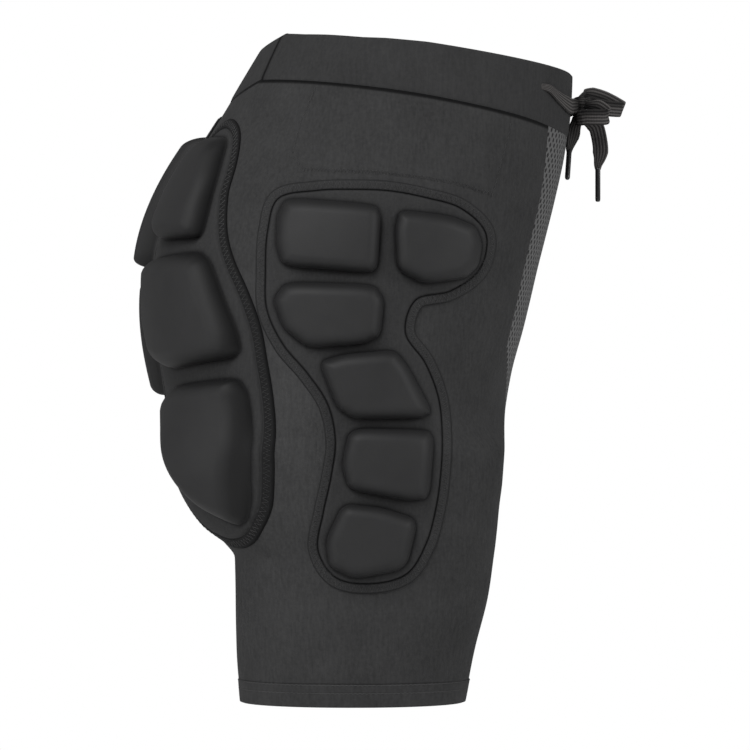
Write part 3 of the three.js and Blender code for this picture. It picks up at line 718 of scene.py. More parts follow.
# %% Pad tables
HIP_PAD = {"facing": 0, "middle": -33, "half_width": 74, "top": -102, "height": 262}
SEAT_PAD = {"facing": -52, "middle": -13.5, "half_width": 69, "top": -57, "height": 276}
TAIL_PAD = {"facing": -90, "middle": 0, "half_width": 19, "top": -50, "height": 198}

HIP_EDGE = [
    (-1, 0.097), (-0.91, 0.016), (-0.569, -0.004), (-0.233, -0.007), (0.102, -0.003),
    (0.432, 0.014), (0.752, 0.041), (0.976, 0.104), (0.918, 0.193), (0.653, 0.25), (0.333, 0.275),
    (0.24, 0.358), (0.422, 0.437), (0.541, 0.525), (0.575, 0.619), (0.562, 0.713), (0.516, 0.807),
    (0.426, 0.898), (0.255, 0.972), (-0.057, 0.997), (-0.385, 0.982), (-0.544, 0.913),
    (-0.498, 0.819), (-0.427, 0.727), (-0.387, 0.633), (-0.455, 0.541), (-0.638, 0.462),
    (-0.86, 0.388), (-1.005, 0.3), (-1.02, 0.206),
]
SEAT_EDGE = [
    (-0.583, 0.03), (-0.292, -0.007), (0.04, 0.019), (0.217, 0.093), (0.289, 0.179), (0.402, 0.261),
    (0.564, 0.339), (0.738, 0.414), (0.875, 0.495), (0.942, 0.581), (0.99, 0.667), (1.011, 0.755),
    (1.004, 0.842), (0.933, 0.928), (0.703, 0.99), (0.361, 1.005), (0.038, 0.975), (-0.178, 0.907),
    (-0.319, 0.827), (-0.531, 0.758), (-0.758, 0.692), (-0.932, 0.616), (-1.003, 0.531),
    (-1.012, 0.443), (-1.016, 0.356), (-0.984, 0.269), (-0.908, 0.183), (-0.782, 0.102),
]
TAIL_EDGE = [
    (0.0, 0.0), (0.55, 0.02), (0.8, 0.12), (0.97, 0.3), (1.0, 0.55), (0.93, 0.8), (0.6, 0.97),
    (0.0, 1.0), (-0.6, 0.97), (-0.93, 0.8), (-1.0, 0.55), (-0.97, 0.3), (-0.8, 0.12), (-0.55, 0.02),
]
HIP_CELLS = [
    [(-0.836, 0.014), (-0.023, 0.033), (0.022, 0.064), (-0.005, 0.189), (-0.077, 0.207),
     (-0.861, 0.189), (-0.925, 0.135), (-0.917, 0.058)],
    [(-0.834, 0.23), (-0.041, 0.237), (0.049, 0.276), (0.013, 0.367), (-0.149, 0.39),
     (-0.635, 0.397), (-0.86, 0.347), (-0.951, 0.275)],
    [(-0.302, 0.413), (0.139, 0.403), (0.256, 0.441), (0.482, 0.56), (0.373, 0.578),
     (-0.212, 0.578), (-0.374, 0.55), (-0.536, 0.433)],
    [(-0.257, 0.601), (0.446, 0.606), (0.5, 0.632), (0.454, 0.782), (0.238, 0.786),
     (-0.266, 0.758), (-0.329, 0.695)],
    [(-0.32, 0.794), (0.031, 0.804), (0.355, 0.835), (0.247, 0.96), (-0.213, 0.985),
     (-0.447, 0.954), (-0.473, 0.886)],
    [(0.193, 0.046), (0.646, 0.06), (0.88, 0.085), (0.94, 0.13), (0.905, 0.185), (0.79, 0.218),
     (0.418, 0.234), (0.166, 0.199), (0.148, 0.092)],
]
SEAT_CELLS = [
    [(-0.56, 0.012), (-0.004, 0.02), (0.16, 0.128), (0.2, 0.251), (0.15, 0.271), (-0.644, 0.27),
     (-0.87, 0.24), (-0.78, 0.13)],
    [(-0.91, 0.32), (0.2, 0.303), (0.39, 0.33), (0.75, 0.496), (0.8, 0.545), (0.7, 0.567),
     (-0.307, 0.591), (-0.717, 0.573), (-0.93, 0.48), (-0.95, 0.38)],
    [(-0.5, 0.66), (-0.25, 0.633), (0.76, 0.613), (0.86, 0.647), (0.94, 0.786), (0.9, 0.905),
     (0.81, 0.956), (0.67, 0.972), (0.36, 0.935), (0.02, 0.85), (-0.3, 0.765), (-0.52, 0.705)],
]
TAIL_CELLS = [
    [(-0.46, 0.04), (0.46, 0.04), (0.75, 0.28), (0.77, 0.5), (-0.77, 0.5), (-0.75, 0.28)],
    [(-0.77, 0.545), (0.77, 0.545), (0.72, 0.78), (0.36, 0.95), (-0.36, 0.95), (-0.72, 0.78)],
]


def in_pad(pad, rows):
    rows = np.asarray(rows, float)
    return np.stack([pad["middle"] + rows[:, 0] * pad["half_width"],
                     pad["top"] - rows[:, 1] * pad["height"]], -1)


# %% [markdown]
# Laying a point on the body means finding the turn whose surface point lies that far across
# in the pad's view. Halving the search range forty times is plenty, and it runs on whole
# arrays at once. The tailbone pad crosses the centre plane, so its left half is mirrored.

# %% Laying pads on the body


def pad_points(pad, flat, lift):
    """World points in millimetres of flat pad points, lifted off the body."""
    flat = np.asarray(flat, float)
    lift = np.broadcast_to(np.asarray(lift, float), flat.shape[:1])
    facing = math.radians(pad["facing"])
    centred = pad["facing"] == -90
    wanted = np.abs(flat[:, 0]) if centred else flat[:, 0]
    z = flat[:, 1]
    low = np.full(len(flat), facing - math.radians(0.5 if centred else 88))
    high = np.full(len(flat), facing + math.radians(88))
    for _ in range(40):
        middle = (low + high) / 2
        side, fore = surface(middle, z, lift)
        short = fore * math.cos(facing) - side * math.sin(facing) < wanted
        low, high = np.where(short, middle, low), np.where(short, high, middle)
    points = world(*surface((low + high) / 2, z, lift), z)
    if centred:
        points[:, 0] *= np.where(flat[:, 0] < 0, -1, 1)
    return points


def area(flat):
    x, y = flat[:, 0], flat[:, 1]
    return 0.5 * float(np.sum(x * np.roll(y, -1) - np.roll(x, -1) * y))


def spaced(flat, number):
    """Points at even steps round a closed outline."""
    loop = np.vstack([flat, flat[:1]])
    along = np.concatenate([[0], np.cumsum(np.linalg.norm(np.diff(loop, axis=0), axis=1))])
    want = np.linspace(0, along[-1], number, endpoint=False)
    return np.stack([np.interp(want, along, loop[:, i]) for i in (0, 1)], -1)


def smooth_run(a, b, c, d, number):
    """Points from b up to c on a smooth curve. Values past the third ride along with the place."""
    pairs = ((a, b), (b, c), (c, d))
    t0, t1, t2, t3 = np.cumsum([0] + [math.sqrt(np.linalg.norm((q - p)[:3])) for p, q in pairs])
    t = np.linspace(t1, t2, number, endpoint=False)[:, None]
    ab = (t1 - t) / (t1 - t0) * a + (t - t0) / (t1 - t0) * b
    bc = (t2 - t) / (t2 - t1) * b + (t - t1) / (t2 - t1) * c
    cd = (t3 - t) / (t3 - t2) * c + (t - t2) / (t3 - t2) * d
    abc = (t2 - t) / (t2 - t0) * ab + (t - t0) / (t2 - t0) * bc
    bcd = (t3 - t) / (t3 - t1) * bc + (t - t1) / (t3 - t1) * cd
    return (t2 - t) / (t2 - t1) * abc + (t - t1) / (t2 - t1) * bcd


def closed_curve(knots, number):
    """Smooth closed curve through the knots, at even steps."""
    size = len(knots)
    parts = []
    for i in range(size):
        a, b, c, d = (knots[(i + j - 1) % size] for j in range(4))
        parts.append(smooth_run(a, b, c, d, 16))
    return spaced(np.vstack(parts), number)


def grown(flat, amount):
    """Outline moved outwards, or inwards by a negative amount."""
    along = np.roll(flat, -1, axis=0) - np.roll(flat, 1, axis=0)
    along /= np.linalg.norm(along, axis=1, keepdims=True)
    out = np.stack([along[:, 1], -along[:, 0]], -1) * (1 if area(flat) > 0 else -1)
    return flat + out * amount


def rounded(corners, number, share=0.45):
    """Outline through rounded corners: straight runs joined by parabolas."""
    parts = []
    size = len(corners)
    for i, corner in enumerate(corners):
        before = (corners[i - 1] + corner) / 2
        after = (corner + corners[(i + 1) % size]) / 2
        a, b = before + (corner - before) * share, after + (corner - after) * share
        t = np.linspace(0, 1, 14)[:, None]
        parts.append((1 - t) ** 2 * a + 2 * t * (1 - t) * corner + t**2 * b)
    return spaced(np.vstack(parts), number)


def distance_inside(points, outline):
    """Distance to an outline: positive inside it, negative outside."""
    a, b = outline, np.roll(outline, -1, axis=0)
    nearest = np.full(len(points), np.inf)
    inside = np.zeros(len(points), bool)
    for p, q in zip(a, b):
        run = q - p
        share = np.clip(((points - p) @ run) / (run @ run), 0, 1)
        nearest = np.minimum(nearest, np.linalg.norm(points - (p + share[:, None] * run), axis=1))
        crosses = (p[1] > points[:, 1]) != (q[1] > points[:, 1])
        if p[1] != q[1]:
            at = p[0] + (points[:, 1] - p[1]) * run[0] / run[1]
            inside ^= crosses & (points[:, 0] < at)
    return np.where(inside, nearest, -nearest)


# %% [markdown]
# ### Quilted backings
#
# Each backing is one cut of cloth over thin foam. Its rim is a flat stitched flange, then a
# narrow sewn groove, then the slightly raised panel that carries the cells. Triangulating the
# outline together with rings beside the groove keeps the groove crisp.

# %% Backings


def backing_height(inside):
    """Lift of a backing's top, from the distance inside its sewn groove."""
    from_rim = inside + FLANGE
    rim = 0.25 + 1.05 * np.sqrt(np.clip(from_rim / 1.0, 0, 1))
    panel = rim + 0.55 * np.clip(inside / 1.4, 0, 1) ** 0.5
    groove = 1.15 * np.exp(-((inside - 0.1) / 0.55) ** 2)
    return np.maximum(panel - groove, 0.25)


CREASE_SHADE_WIDTH = 1.8


def backing(name, pad, edge, cell_corners, flange_shade, groove_shade, rim_shade):
    line = closed_curve(in_pad(pad, edge), int(420 * DETAIL))
    steps = [FLANGE, FLANGE - 0.4, FLANGE - 1.2, 4.2, 2.4, 1.3, 0.7, 0.3, -0.1, -0.5, -0.9, -1.5, -3.0]
    rim = grown(line, FLANGE)
    flat = [rim]
    for step in steps[1:]:
        ring = grown(line, step)
        inside = distance_inside(ring, line)
        flat.append(ring[np.abs(inside + step) < 0.15])
    feet = [rounded(in_pad(pad, corners), int(150 * DETAIL)) for corners in cell_corners]
    for foot in feet:
        flat += [grown(foot, step) for step in (-1.5, -0.2, 1.0, 2.2, 3.6)]
    low, high = line.min(0), line.max(0)
    pitch = 3.0 / DETAIL
    x, y = np.meshgrid(np.arange(low[0], high[0], pitch), np.arange(low[1], high[1], pitch))
    grid = np.stack([x.ravel(), y.ravel()], -1)
    flat.append(grid[distance_inside(grid, line) > 4.0])
    flat = np.vstack(flat)
    number = len(rim)
    edges = [(i, (i + 1) % number) for i in range(number)]
    cut = delaunay_2d_cdt([Vector(p) for p in flat], edges, [], 1, 1e-4)
    flat = np.array([tuple(v) for v in cut[0]])
    faces = [f for f in cut[2]]
    rim_edges = {}
    for a, b, c in faces:
        for p, q in ((a, b), (b, c), (c, a)):
            key = (min(p, q), max(p, q))
            rim_edges[key] = None if key in rim_edges else (p, q)
    top = pad_points(pad, flat, backing_height(distance_inside(flat, line)))
    under = pad_points(pad, flat, 0.02)
    size = len(flat)
    closed = faces + [tuple(size + i for i in f[::-1]) for f in faces]
    closed += [(q, p, size + p, size + q) for p, q in (e for e in rim_edges.values() if e)]
    # Painted shade: darker in the sewn groove, along the outer rim as a contact shadow, in the creases
    # beside the cell feet, and over the whole flange on the seat and tailbone pads.
    inside = distance_inside(flat, line)
    groove = np.exp(-((inside + 0.1) / 0.6) ** 2)
    rim = np.exp(-((inside + FLANGE) / 0.7) ** 2)
    tone = np.where(inside < 0, flange_shade, 1.0) * (1 - groove_shade * groove) * (1 - rim_shade * rim)
    for foot in feet:
        tone *= 1 - 0.75 * np.exp(-(np.maximum(-distance_inside(flat, foot), 0) / CREASE_SHADE_WIDTH) ** 2)
    piece = add_piece(name, np.vstack([top, under]), closed, quilt_look, tone=np.concatenate([tone, tone]))
    outward(piece)
    return piece, line


# For each pad: painted shade on the flange, in the groove and along the rim.
HIP_PAINTED_SHADE, SEAT_PAINTED_SHADE, TAILBONE_PAINTED_SHADE = (1.0, 0.95, 0.6), (0.36, 0.2, 0.75), (0.6, 0.25, 0.6)
hip_back, hip_line = backing("hip_pad_backing_right_quilt", HIP_PAD, HIP_EDGE, HIP_CELLS, *HIP_PAINTED_SHADE)
seat_back, seat_line = backing("seat_pad_backing_right_quilt", SEAT_PAD, SEAT_EDGE, SEAT_CELLS, *SEAT_PAINTED_SHADE)
tail_back, tail_line = backing("tailbone_backing_quilt", TAIL_PAD, TAIL_EDGE, TAIL_CELLS, *TAILBONE_PAINTED_SHADE)
hip_back_left = mirror_copy(hip_back, "hip_pad_backing_left_quilt")
seat_back_left = mirror_copy(seat_back, "seat_pad_backing_left_quilt")
print("backing triangles:", [count(p) for p in (hip_back, seat_back, tail_back)])

# %% [markdown]
# ### Raised cells
#
# The cells are pressed from closed-cell foam with a cloth face. A press leaves a small
# fillet at the foot, a leaning wall, a soft round shoulder and a very slightly crowned top.
# One profile, given as how far in and how high, makes them all: it is swept round each
# rounded outline and closed over the middle.

# %% Cells
BOXINESS = 1.0


def cell_profile(height, shoulder):
    """Rings of (inwards, share of height): a tight foot and one soft curve up to the top."""
    angles = np.linspace(0, math.pi / 2, 20)
    inwards = shoulder * (1 - np.cos(angles) ** BOXINESS)
    up = 0.5 + (height - 0.5) * np.sin(angles) ** BOXINESS
    return [(-0.35, 0.0)] + list(zip(inwards, up / height))


def offset_ring(outline, inwards, centre, angles):
    """The outline moved inwards, at the given directions from its centre."""
    ring = grown(outline, -inwards)
    if inwards > 0:
        ring = ring[distance_inside(ring, outline) > inwards - 0.05]
    away = ring - centre
    bearing = np.arctan2(away[:, 1], away[:, 0])
    order = np.argsort(bearing)
    reach = np.interp(angles, bearing[order], np.hypot(*away[order].T), period=2 * math.pi)
    return centre + reach[:, None] * np.stack([np.cos(angles), np.sin(angles)], -1)


def depth_out(pad, flat, lift):
    """Distance out in the pad's own view of points lifted off the body."""
    facing = math.radians(pad["facing"])
    points = pad_points(pad, flat, lift)
    side = np.abs(points[:, 0]) if pad["facing"] == -90 else -points[:, 0]
    return side * math.cos(facing) - points[:, 1] * math.sin(facing)


def pillow_fit(flat, depth, centre):
    """Smooth low surface through a cell's top, as a function of place."""
    def terms(where):
        u, v = ((where - centre) / 30.0).T
        return np.stack([u**i * v**j for i in range(4) for j in range(4 - i)], -1)
    weights = np.linalg.lstsq(terms(flat), depth, rcond=None)[0]
    return lambda where: terms(where) @ weights


FACE_FROM = 0.72
SUNK = 0.9
CROWN, CROWN_REACH = 1.4, 40.0


def foam_cell(name, pad, corners, height, shoulder, face_shade, wall_shade):
    """A pressed cell. Its colour carries painted shade: darker down the walls, and darker overall on the
    seat and tailbone cells.
    """
    number = int(140 * DETAIL)
    outline = rounded(in_pad(pad, corners), 400)
    centre = outline.mean(0)
    base = spaced(outline, number) - centre
    angles = np.arctan2(base[:, 1], base[:, 0])
    rings, shares = [], []
    for inwards, share in cell_profile(height, shoulder):
        rings.append(offset_ring(outline, inwards, centre, angles))
        shares.append(np.full(number, share))
    rim = rings[-1]
    for scale in (0.85, 0.68, 0.5, 0.32, 0.15):
        rings.append(centre + (rim - centre) * scale)
        shares.append(np.ones(number))
    top = np.vstack(rings + [centre[None]])
    share = np.concatenate(shares + [[1.0]])
    low = depth_out(pad, top, CELL_BASE - 0.5)
    inner = np.vstack(rings[10:])
    smooth = pillow_fit(inner, depth_out(pad, inner, CELL_BASE - 0.5 + height), centre)
    crown = CROWN * (1 - np.clip(np.hypot(*(top - centre).T) / CROWN_REACH, 0, 1) ** 2)
    depth = low + (smooth(top) + crown - low) * share
    under = [centre + (rings[0] - centre) * scale for scale in (0.25, 0.6, 0.85, 1.0)]
    flat = np.vstack(under + [top, centre[None]])
    sunk, sunk_middle = depth_out(pad, np.vstack(under), SUNK), depth_out(pad, centre[None], SUNK)
    depth = np.concatenate([sunk, depth, sunk_middle])
    facing = math.radians(pad["facing"])
    side = depth * math.cos(facing) - flat[:, 0] * math.sin(facing)
    fore = depth * math.sin(facing) + flat[:, 0] * math.cos(facing)
    points = world(side, fore, flat[:, 1])
    rows = len(under) + len(rings)
    faces = [tuple(f) for f in grid_faces(rows, number, wrap_cols=True)]
    high, bottom, last = rows * number, rows * number + 1, (rows - 1) * number
    for k in range(number):
        after = (k + 1) % number
        faces.append((after, k, bottom))
        faces.append((last + k, last + after, high))
    # Painted shade down the walls and over the face.
    flatness = np.clip((share - FACE_FROM) / (1 - FACE_FROM), 0, 1)
    seen = face_shade * (1 - wall_shade * (1 - flatness))
    tone = np.concatenate([np.ones(len(under) * number), seen, [1.0]])
    piece = add_piece(name, points, faces, foam_look, tone=tone)
    outward(piece)
    return piece


cells = []
for kind, pad, tables, height, *shape_and_shade in (
        # kind, pad, outlines, height, shoulder, painted face shade, painted wall shade
        ("hip", HIP_PAD, HIP_CELLS, HIP_CELL, 8.5, 1.0, 0.35),
        ("seat", SEAT_PAD, SEAT_CELLS, SEAT_CELL, 12.0, 0.88, 0.6)):
    for number, corners in enumerate(tables, 1):
        right = foam_cell(f"{kind}_cell_{number}_right_foam", pad, corners, height, *shape_and_shade)
        cells += [right, mirror_copy(right, f"{kind}_cell_{number}_left_foam")]
TAILBONE_SHAPE_AND_SHADE = (7.0, 0.95, 0.4)
for number, (corners, height) in enumerate(zip(TAIL_CELLS, (TAIL_CELL, LOWER_TAIL_CELL)), 1):
    cells.append(foam_cell(f"tailbone_cell_{number}_foam", TAIL_PAD, corners, height, *TAILBONE_SHAPE_AND_SHADE))
print("cells:", len(cells), "triangles in one:", count(cells[0]))

# %% [markdown]
# ## Stitches
#
# The flanges are sewn down with a dense zigzag. Geometry Nodes draws it: the node tree takes
# a line of points that each know their sideways direction, pushes every other point to one
# side and the rest to the other, and gives the line a thread's thickness. Width, thread and
# material are named inputs of the tree.

# %% Zigzag node tree


def zigzag_tree():
    tree = bpy.data.node_groups.new("zigzag_stitch", "GeometryNodeTree")
    face = tree.interface
    face.new_socket("Geometry", in_out="INPUT", socket_type="NodeSocketGeometry")
    for label in ("Half width", "Thread radius"):
        face.new_socket(label, in_out="INPUT", socket_type="NodeSocketFloat")
    face.new_socket("Thread", in_out="INPUT", socket_type="NodeSocketMaterial")
    face.new_socket("Geometry", in_out="OUTPUT", socket_type="NodeSocketGeometry")
    nodes, links = tree.nodes, tree.links
    start, end = nodes.new("NodeGroupInput"), nodes.new("NodeGroupOutput")

    def math_node(operation, a, b=None):
        node = nodes.new("ShaderNodeMath")
        node.operation = operation
        for socket, value in zip(node.inputs, (a, b)):
            if isinstance(value, (int, float)):
                socket.default_value = value
            elif value is not None:
                links.new(value, socket)
        return node.outputs[0]

    index = nodes.new("GeometryNodeInputIndex").outputs[0]
    parity = math_node("MODULO", index, 2)
    sway = math_node("SUBTRACT", math_node("MULTIPLY", parity, 2), 1)
    sideways = nodes.new("GeometryNodeInputNamedAttribute")
    sideways.data_type = "FLOAT_VECTOR"
    sideways.inputs["Name"].default_value = "sideways"
    scale = nodes.new("ShaderNodeVectorMath")
    scale.operation = "SCALE"
    links.new(sideways.outputs[0], scale.inputs[0])
    links.new(math_node("MULTIPLY", sway, start.outputs["Half width"]), scale.inputs["Scale"])
    move = nodes.new("GeometryNodeSetPosition")
    links.new(start.outputs["Geometry"], move.inputs["Geometry"])
    links.new(scale.outputs[0], move.inputs["Offset"])
    curve = nodes.new("GeometryNodeMeshToCurve")
    links.new(move.outputs[0], curve.inputs[0])
    ring = nodes.new("GeometryNodeCurvePrimitiveCircle")
    ring.inputs["Resolution"].default_value = 4
    links.new(start.outputs["Thread radius"], ring.inputs["Radius"])
    tube = nodes.new("GeometryNodeCurveToMesh")
    links.new(curve.outputs[0], tube.inputs["Curve"])
    links.new(ring.outputs["Curve"], tube.inputs["Profile Curve"])
    tube.inputs["Fill Caps"].default_value = True
    real = nodes.new("GeometryNodeRealizeInstances")
    links.new(tube.outputs[0], real.inputs[0])
    paint = nodes.new("GeometryNodeSetMaterial")
    links.new(real.outputs[0], paint.inputs["Geometry"])
    links.new(start.outputs["Thread"], paint.inputs["Material"])
    links.new(paint.outputs[0], end.inputs["Geometry"])
    return tree


ZIGZAG = zigzag_tree()


def zigzag(name, points_mm, sideways, half_width, thread, closed, look):
    """Zigzag stitching along a line of points."""
    number = len(points_mm)
    data = bpy.data.meshes.new(name)
    edges = [(i, i + 1) for i in range(number - 1)] + ([(number - 1, 0)] if closed else [])
    data.from_pydata((points_mm * MM).tolist(), edges, [])
    holder = data.attributes.new("sideways", "FLOAT_VECTOR", "POINT")
    holder.data.foreach_set("vector", sideways.astype(float).ravel())
    piece = bpy.data.objects.new(name, data)
    bpy.context.scene.collection.objects.link(piece)
    modifier = piece.modifiers.new("zigzag", "NODES")
    modifier.node_group = ZIGZAG
    keys = {item.name: item.identifier for item in ZIGZAG.interface.items_tree if item.in_out == "INPUT"}
    modifier[keys["Half width"]] = half_width * MM
    modifier[keys["Thread radius"]] = thread * MM
    modifier[keys["Thread"]] = look
    graph = bpy.context.evaluated_depsgraph_get()
    graph.update()
    baked = bpy.data.meshes.new_from_object(piece.evaluated_get(graph))
    piece.modifiers.remove(modifier)
    old, piece.data = piece.data, baked
    bpy.data.meshes.remove(old)
    baked.name = name
    if not baked.materials:
        baked.materials.append(look)
    return piece


def unit(vectors):
    return vectors / np.maximum(np.linalg.norm(vectors, axis=-1, keepdims=True), 1e-9)


STITCH_PITCH, STITCH_OFFSET = 1.7, 3.5
STITCH_HALF_WIDTH, STITCH_THREAD = 2.2, 0.27


def flange_stitch(name, pad, line):
    """Zigzag round a pad's flange, outside its sewn groove."""
    path = grown(line, STITCH_OFFSET)
    path = path[np.abs(distance_inside(path, line) + STITCH_OFFSET) < 0.6]
    length = np.linalg.norm(np.diff(np.vstack([path, path[:1]]), axis=0), axis=1).sum()
    number = int(length / STITCH_PITCH) // 2 * 2
    path = spaced(path, number)
    lift = backing_height(np.full(number, -STITCH_OFFSET)) + 0.1
    points = pad_points(pad, path, lift)
    sideways = unit(pad_points(pad, grown(path, 1.0), lift) - points)
    return zigzag(name, points, sideways, STITCH_HALF_WIDTH, STITCH_THREAD, True, thread_look)


hip_stitch = flange_stitch("hip_flange_stitch_right", HIP_PAD, hip_line)
seat_stitch = flange_stitch("seat_flange_stitch_right", SEAT_PAD, seat_line)
tail_stitch = flange_stitch("tailbone_flange_stitch", TAIL_PAD, tail_line)
hip_stitch_left = mirror_copy(hip_stitch, "hip_flange_stitch_left")
seat_stitch_left = mirror_copy(seat_stitch, "seat_flange_stitch_left")
print("stitch triangles:", [count(p) for p in (hip_stitch, seat_stitch, tail_stitch)])

# %% [markdown]
# Fainter rows of the same stitch hold a second layer of cloth over the hip, under the
# waistband. They show as a thin box: one line across above the hip pad and one down each
# side. The hems carry two plain rows.

# %% Layer and hem stitches


def line_points(knots, pitch):
    """Even points along an open line of (fore, height) in the side view."""
    knots = np.asarray(knots, float)
    along = np.concatenate([[0], np.cumsum(np.linalg.norm(np.diff(knots, axis=0), axis=1))])
    want = np.linspace(0, along[-1], int(along[-1] / pitch) // 2 * 2)
    return np.stack([np.interp(want, along, knots[:, i]) for i in (0, 1)], -1)


def side_stitch(name, knots, pitch, half_width, thread):
    path = line_points(knots, pitch)
    points = pad_points(HIP_PAD, path, 0.05)
    run = np.gradient(path, axis=0)
    sideways = np.stack([run[:, 1], -run[:, 0]], -1)
    beside = pad_points(HIP_PAD, path + sideways / np.linalg.norm(sideways, axis=1, keepdims=True), 0.05)
    return zigzag(name, points, unit(beside - points), half_width, thread, False, thread_look)


LAYER_ACROSS = [(-84, -86), (-31, -88.5), (16, -94.5), (44, -102.5)]
LAYER_FRONT = [(44, -102.5), (50, -80), (57, -53)]
LAYER_BACK = [(-75, -29), (-86, -55), (-91, -76), (-84, -86)]
layer_across = side_stitch("layer_stitch_across_right", LAYER_ACROSS, 1.1, 1.3, 0.14)
layer_front = side_stitch("layer_stitch_front_right", LAYER_FRONT, 1.6, 0.5, 0.12)
layer_back = side_stitch("layer_stitch_back_right", LAYER_BACK, 1.6, 0.5, 0.12)
layers = [layer_across, layer_front, layer_back]
layers += [mirror_copy(p, p.name.replace("_right", "_left")) for p in layers[:3]]


HEM_ROWS_DOWN = (1.0, 6.4)
HEM_GIRTH, HEM_STITCH = 450, 1.6


def hem_row(name, height):
    number = int(HEM_GIRTH / HEM_STITCH) // 2 * 2
    turns = np.linspace(0, 2 * math.pi, number, endpoint=False)
    heights = np.full(number, height)
    points = world(*surface(turns, heights, HEM_PROUD - 0.25), heights)
    sideways = np.tile([0.0, 0.0, 1.0], (number, 1))
    return zigzag(name, points, sideways, 0.25, 0.22, True, thread_look)


hem_rows = [hem_row("hem_stitch_upper_right", HEM_TOP - HEM_ROWS_DOWN[0]),
            hem_row("hem_stitch_lower_right", HEM_TOP - HEM_ROWS_DOWN[1])]
hem_rows += [mirror_copy(p, p.name.replace("_right", "_left")) for p in hem_rows[:2]]
print("layer stitch triangles:", [count(p) for p in layers[:3]])

# %% [markdown]
# ## Drawstring
#
# One flat tape comes out of the band at each side, lies on it to the centre, passes through
# the knot, makes a loop, passes through the knot again and ends in a plastic tip. Each side
# is one ribbon of real length. The points follow the frame's.

# %% Tape routes


def band_fore(side, z, lift):
    _, half_side, fore, half_fore, square = section_at(np.float64(z))
    share = 1 - abs(side / (half_side + lift)) ** square
    return float(fore + (half_fore + lift) * share ** (1 / square))


KNOT_SIDE, KNOT_HEIGHT = 2.0, -35.0
EYELET_SIDE, EYELET_HEIGHT = 86.0, -27.3
KNOT_FORE = band_fore(KNOT_SIDE, KNOT_HEIGHT, BAND_PROUD + SEAM_GAP + KNOT_HALF_WIDTH)
UPRIGHT = (0, 0, 1)


def from_knot(side, fore, rise, across):
    """A point of the route beside the knot, with the direction across the tape."""
    return (KNOT_SIDE + side, KNOT_FORE + fore, KNOT_HEIGHT + rise), across


def lead(sign):
    """From inside the eyelet along the band to the knot."""
    inside = EYELET_SIDE + 4
    route = [((sign * inside, band_fore(inside, EYELET_HEIGHT, -0.6), EYELET_HEIGHT), UPRIGHT)]
    for share in (0.97, 0.8, 0.6, 0.4, 0.2):
        side = EYELET_SIDE * share
        z = KNOT_HEIGHT + (EYELET_HEIGHT - KNOT_HEIGHT) * share**3 - LEAD_SAG * 4 * share * (1 - share)
        fore = band_fore(side, z, BAND_PROUD + TAPE_CLEARANCE / 2 + TAPE_THICKNESS / 2)
        route.append(((sign * side, fore, z), UPRIGHT))
    return route + [from_knot(sign * 6.6, -2.6, -1.2, UPRIGHT), from_knot(sign * 1.5, -0.5, 0, UPRIGHT)]


LOOP_RIGHT = [
    from_knot(4.4, 4.6, -0.6, UPRIGHT),
    from_knot(6.8, 7.6, -1.4, UPRIGHT),
    from_knot(9.4, 12, -2.4, UPRIGHT),
    from_knot(11.8, 16, -5, UPRIGHT),
    from_knot(14, 18.6, -8, UPRIGHT),
    from_knot(16, 17, -9.4, UPRIGHT),
    from_knot(16.4, 11, -9.6, UPRIGHT),
    from_knot(15.6, 3, -9.6, UPRIGHT),
    from_knot(14, -1.6, -10.2, UPRIGHT),
    from_knot(11, -2.4, -10.6, UPRIGHT),
    from_knot(8, -1.8, -10.9, UPRIGHT),
    from_knot(5.9, -0.4, -11, UPRIGHT),
]
LOOP_LEFT = [
    from_knot(-5.1, 3.4, 7.1, UPRIGHT),
    from_knot(-8, 4, 7.8, UPRIGHT),
    from_knot(-12.5, 10, 7.2, UPRIGHT),
    from_knot(-15, 17, 5.2, UPRIGHT),
    from_knot(-15.5, 23.5, 2, (0, 0.15, 1)),
    from_knot(-14, 29, -1.4, (0, 0.4, 1)),
    from_knot(-10.5, 30, -2.6, (0, 0.4, 1)),
    from_knot(-7.5, 27, -2.8, (0, 0.35, 1)),
    from_knot(-5.5, 19, -2.2, (0, 0.15, 1)),
    from_knot(-4, 12.5, -0.2, UPRIGHT),
    from_knot(-2.6, 8, 1.6, UPRIGHT),
    from_knot(-1.5, 7.1, 2.4, UPRIGHT),
]
TAIL_RIGHT = [
    from_knot(1, -1, -6.9, (-0.2, 1, 0)),
    from_knot(2.4, -2.2, -11.2, (-0.3, 1, 0)),
    from_knot(4.6, -3.8, -16, (-0.5, 0.9, 0)),
    from_knot(6.8, -5.4, -22.5, (-0.6, 0.8, 0)),
    from_knot(8, -7, -28, (-0.6, 0.8, 0)),
    from_knot(8.8, -7.9, -31, (-0.6, 0.8, 0)),
    from_knot(10.3, -8.1, -33.6, (-0.6, 0.8, 0)),
]
TAIL_LEFT = [
    from_knot(-2.2, 2, -6.6, (0.1, 1, 0.2)),
    from_knot(-2, 4.6, -10, (0.1, 1, 0.5)),
    from_knot(-1.4, 8.6, -12.8, (0.1, 1, 0.7)),
    from_knot(-0.6, 11.4, -16, (0.1, 1, 0.4)),
    from_knot(0, 12.6, -20, (0.15, 1, 0)),
    from_knot(0.2, 13.6, -25, (0.2, 1, 0)),
    from_knot(0.2, 14.3, -31, (0.2, 1, 0)),
    from_knot(0.2, 13.8, -37, (0.2, 1, 0)),
    from_knot(0.2, 12.6, -42, (0.2, 1, 0)),
    from_knot(0.2, 12.4, -45.5, (0.2, 1, 0)),
]
INSIDE_RIGHT = [from_knot(1.2, 0.8, -1.5, (0.7, 0.2, 0))]
INSIDE_LEFT = [from_knot(-1.2, 1.2, -1.0, (0.7, 0.5, 0))]
ROUTES = {
    "right": (lead(1), LOOP_RIGHT, INSIDE_RIGHT, TAIL_RIGHT),
    "left": (lead(-1), LOOP_LEFT, INSIDE_LEFT, TAIL_LEFT),
}
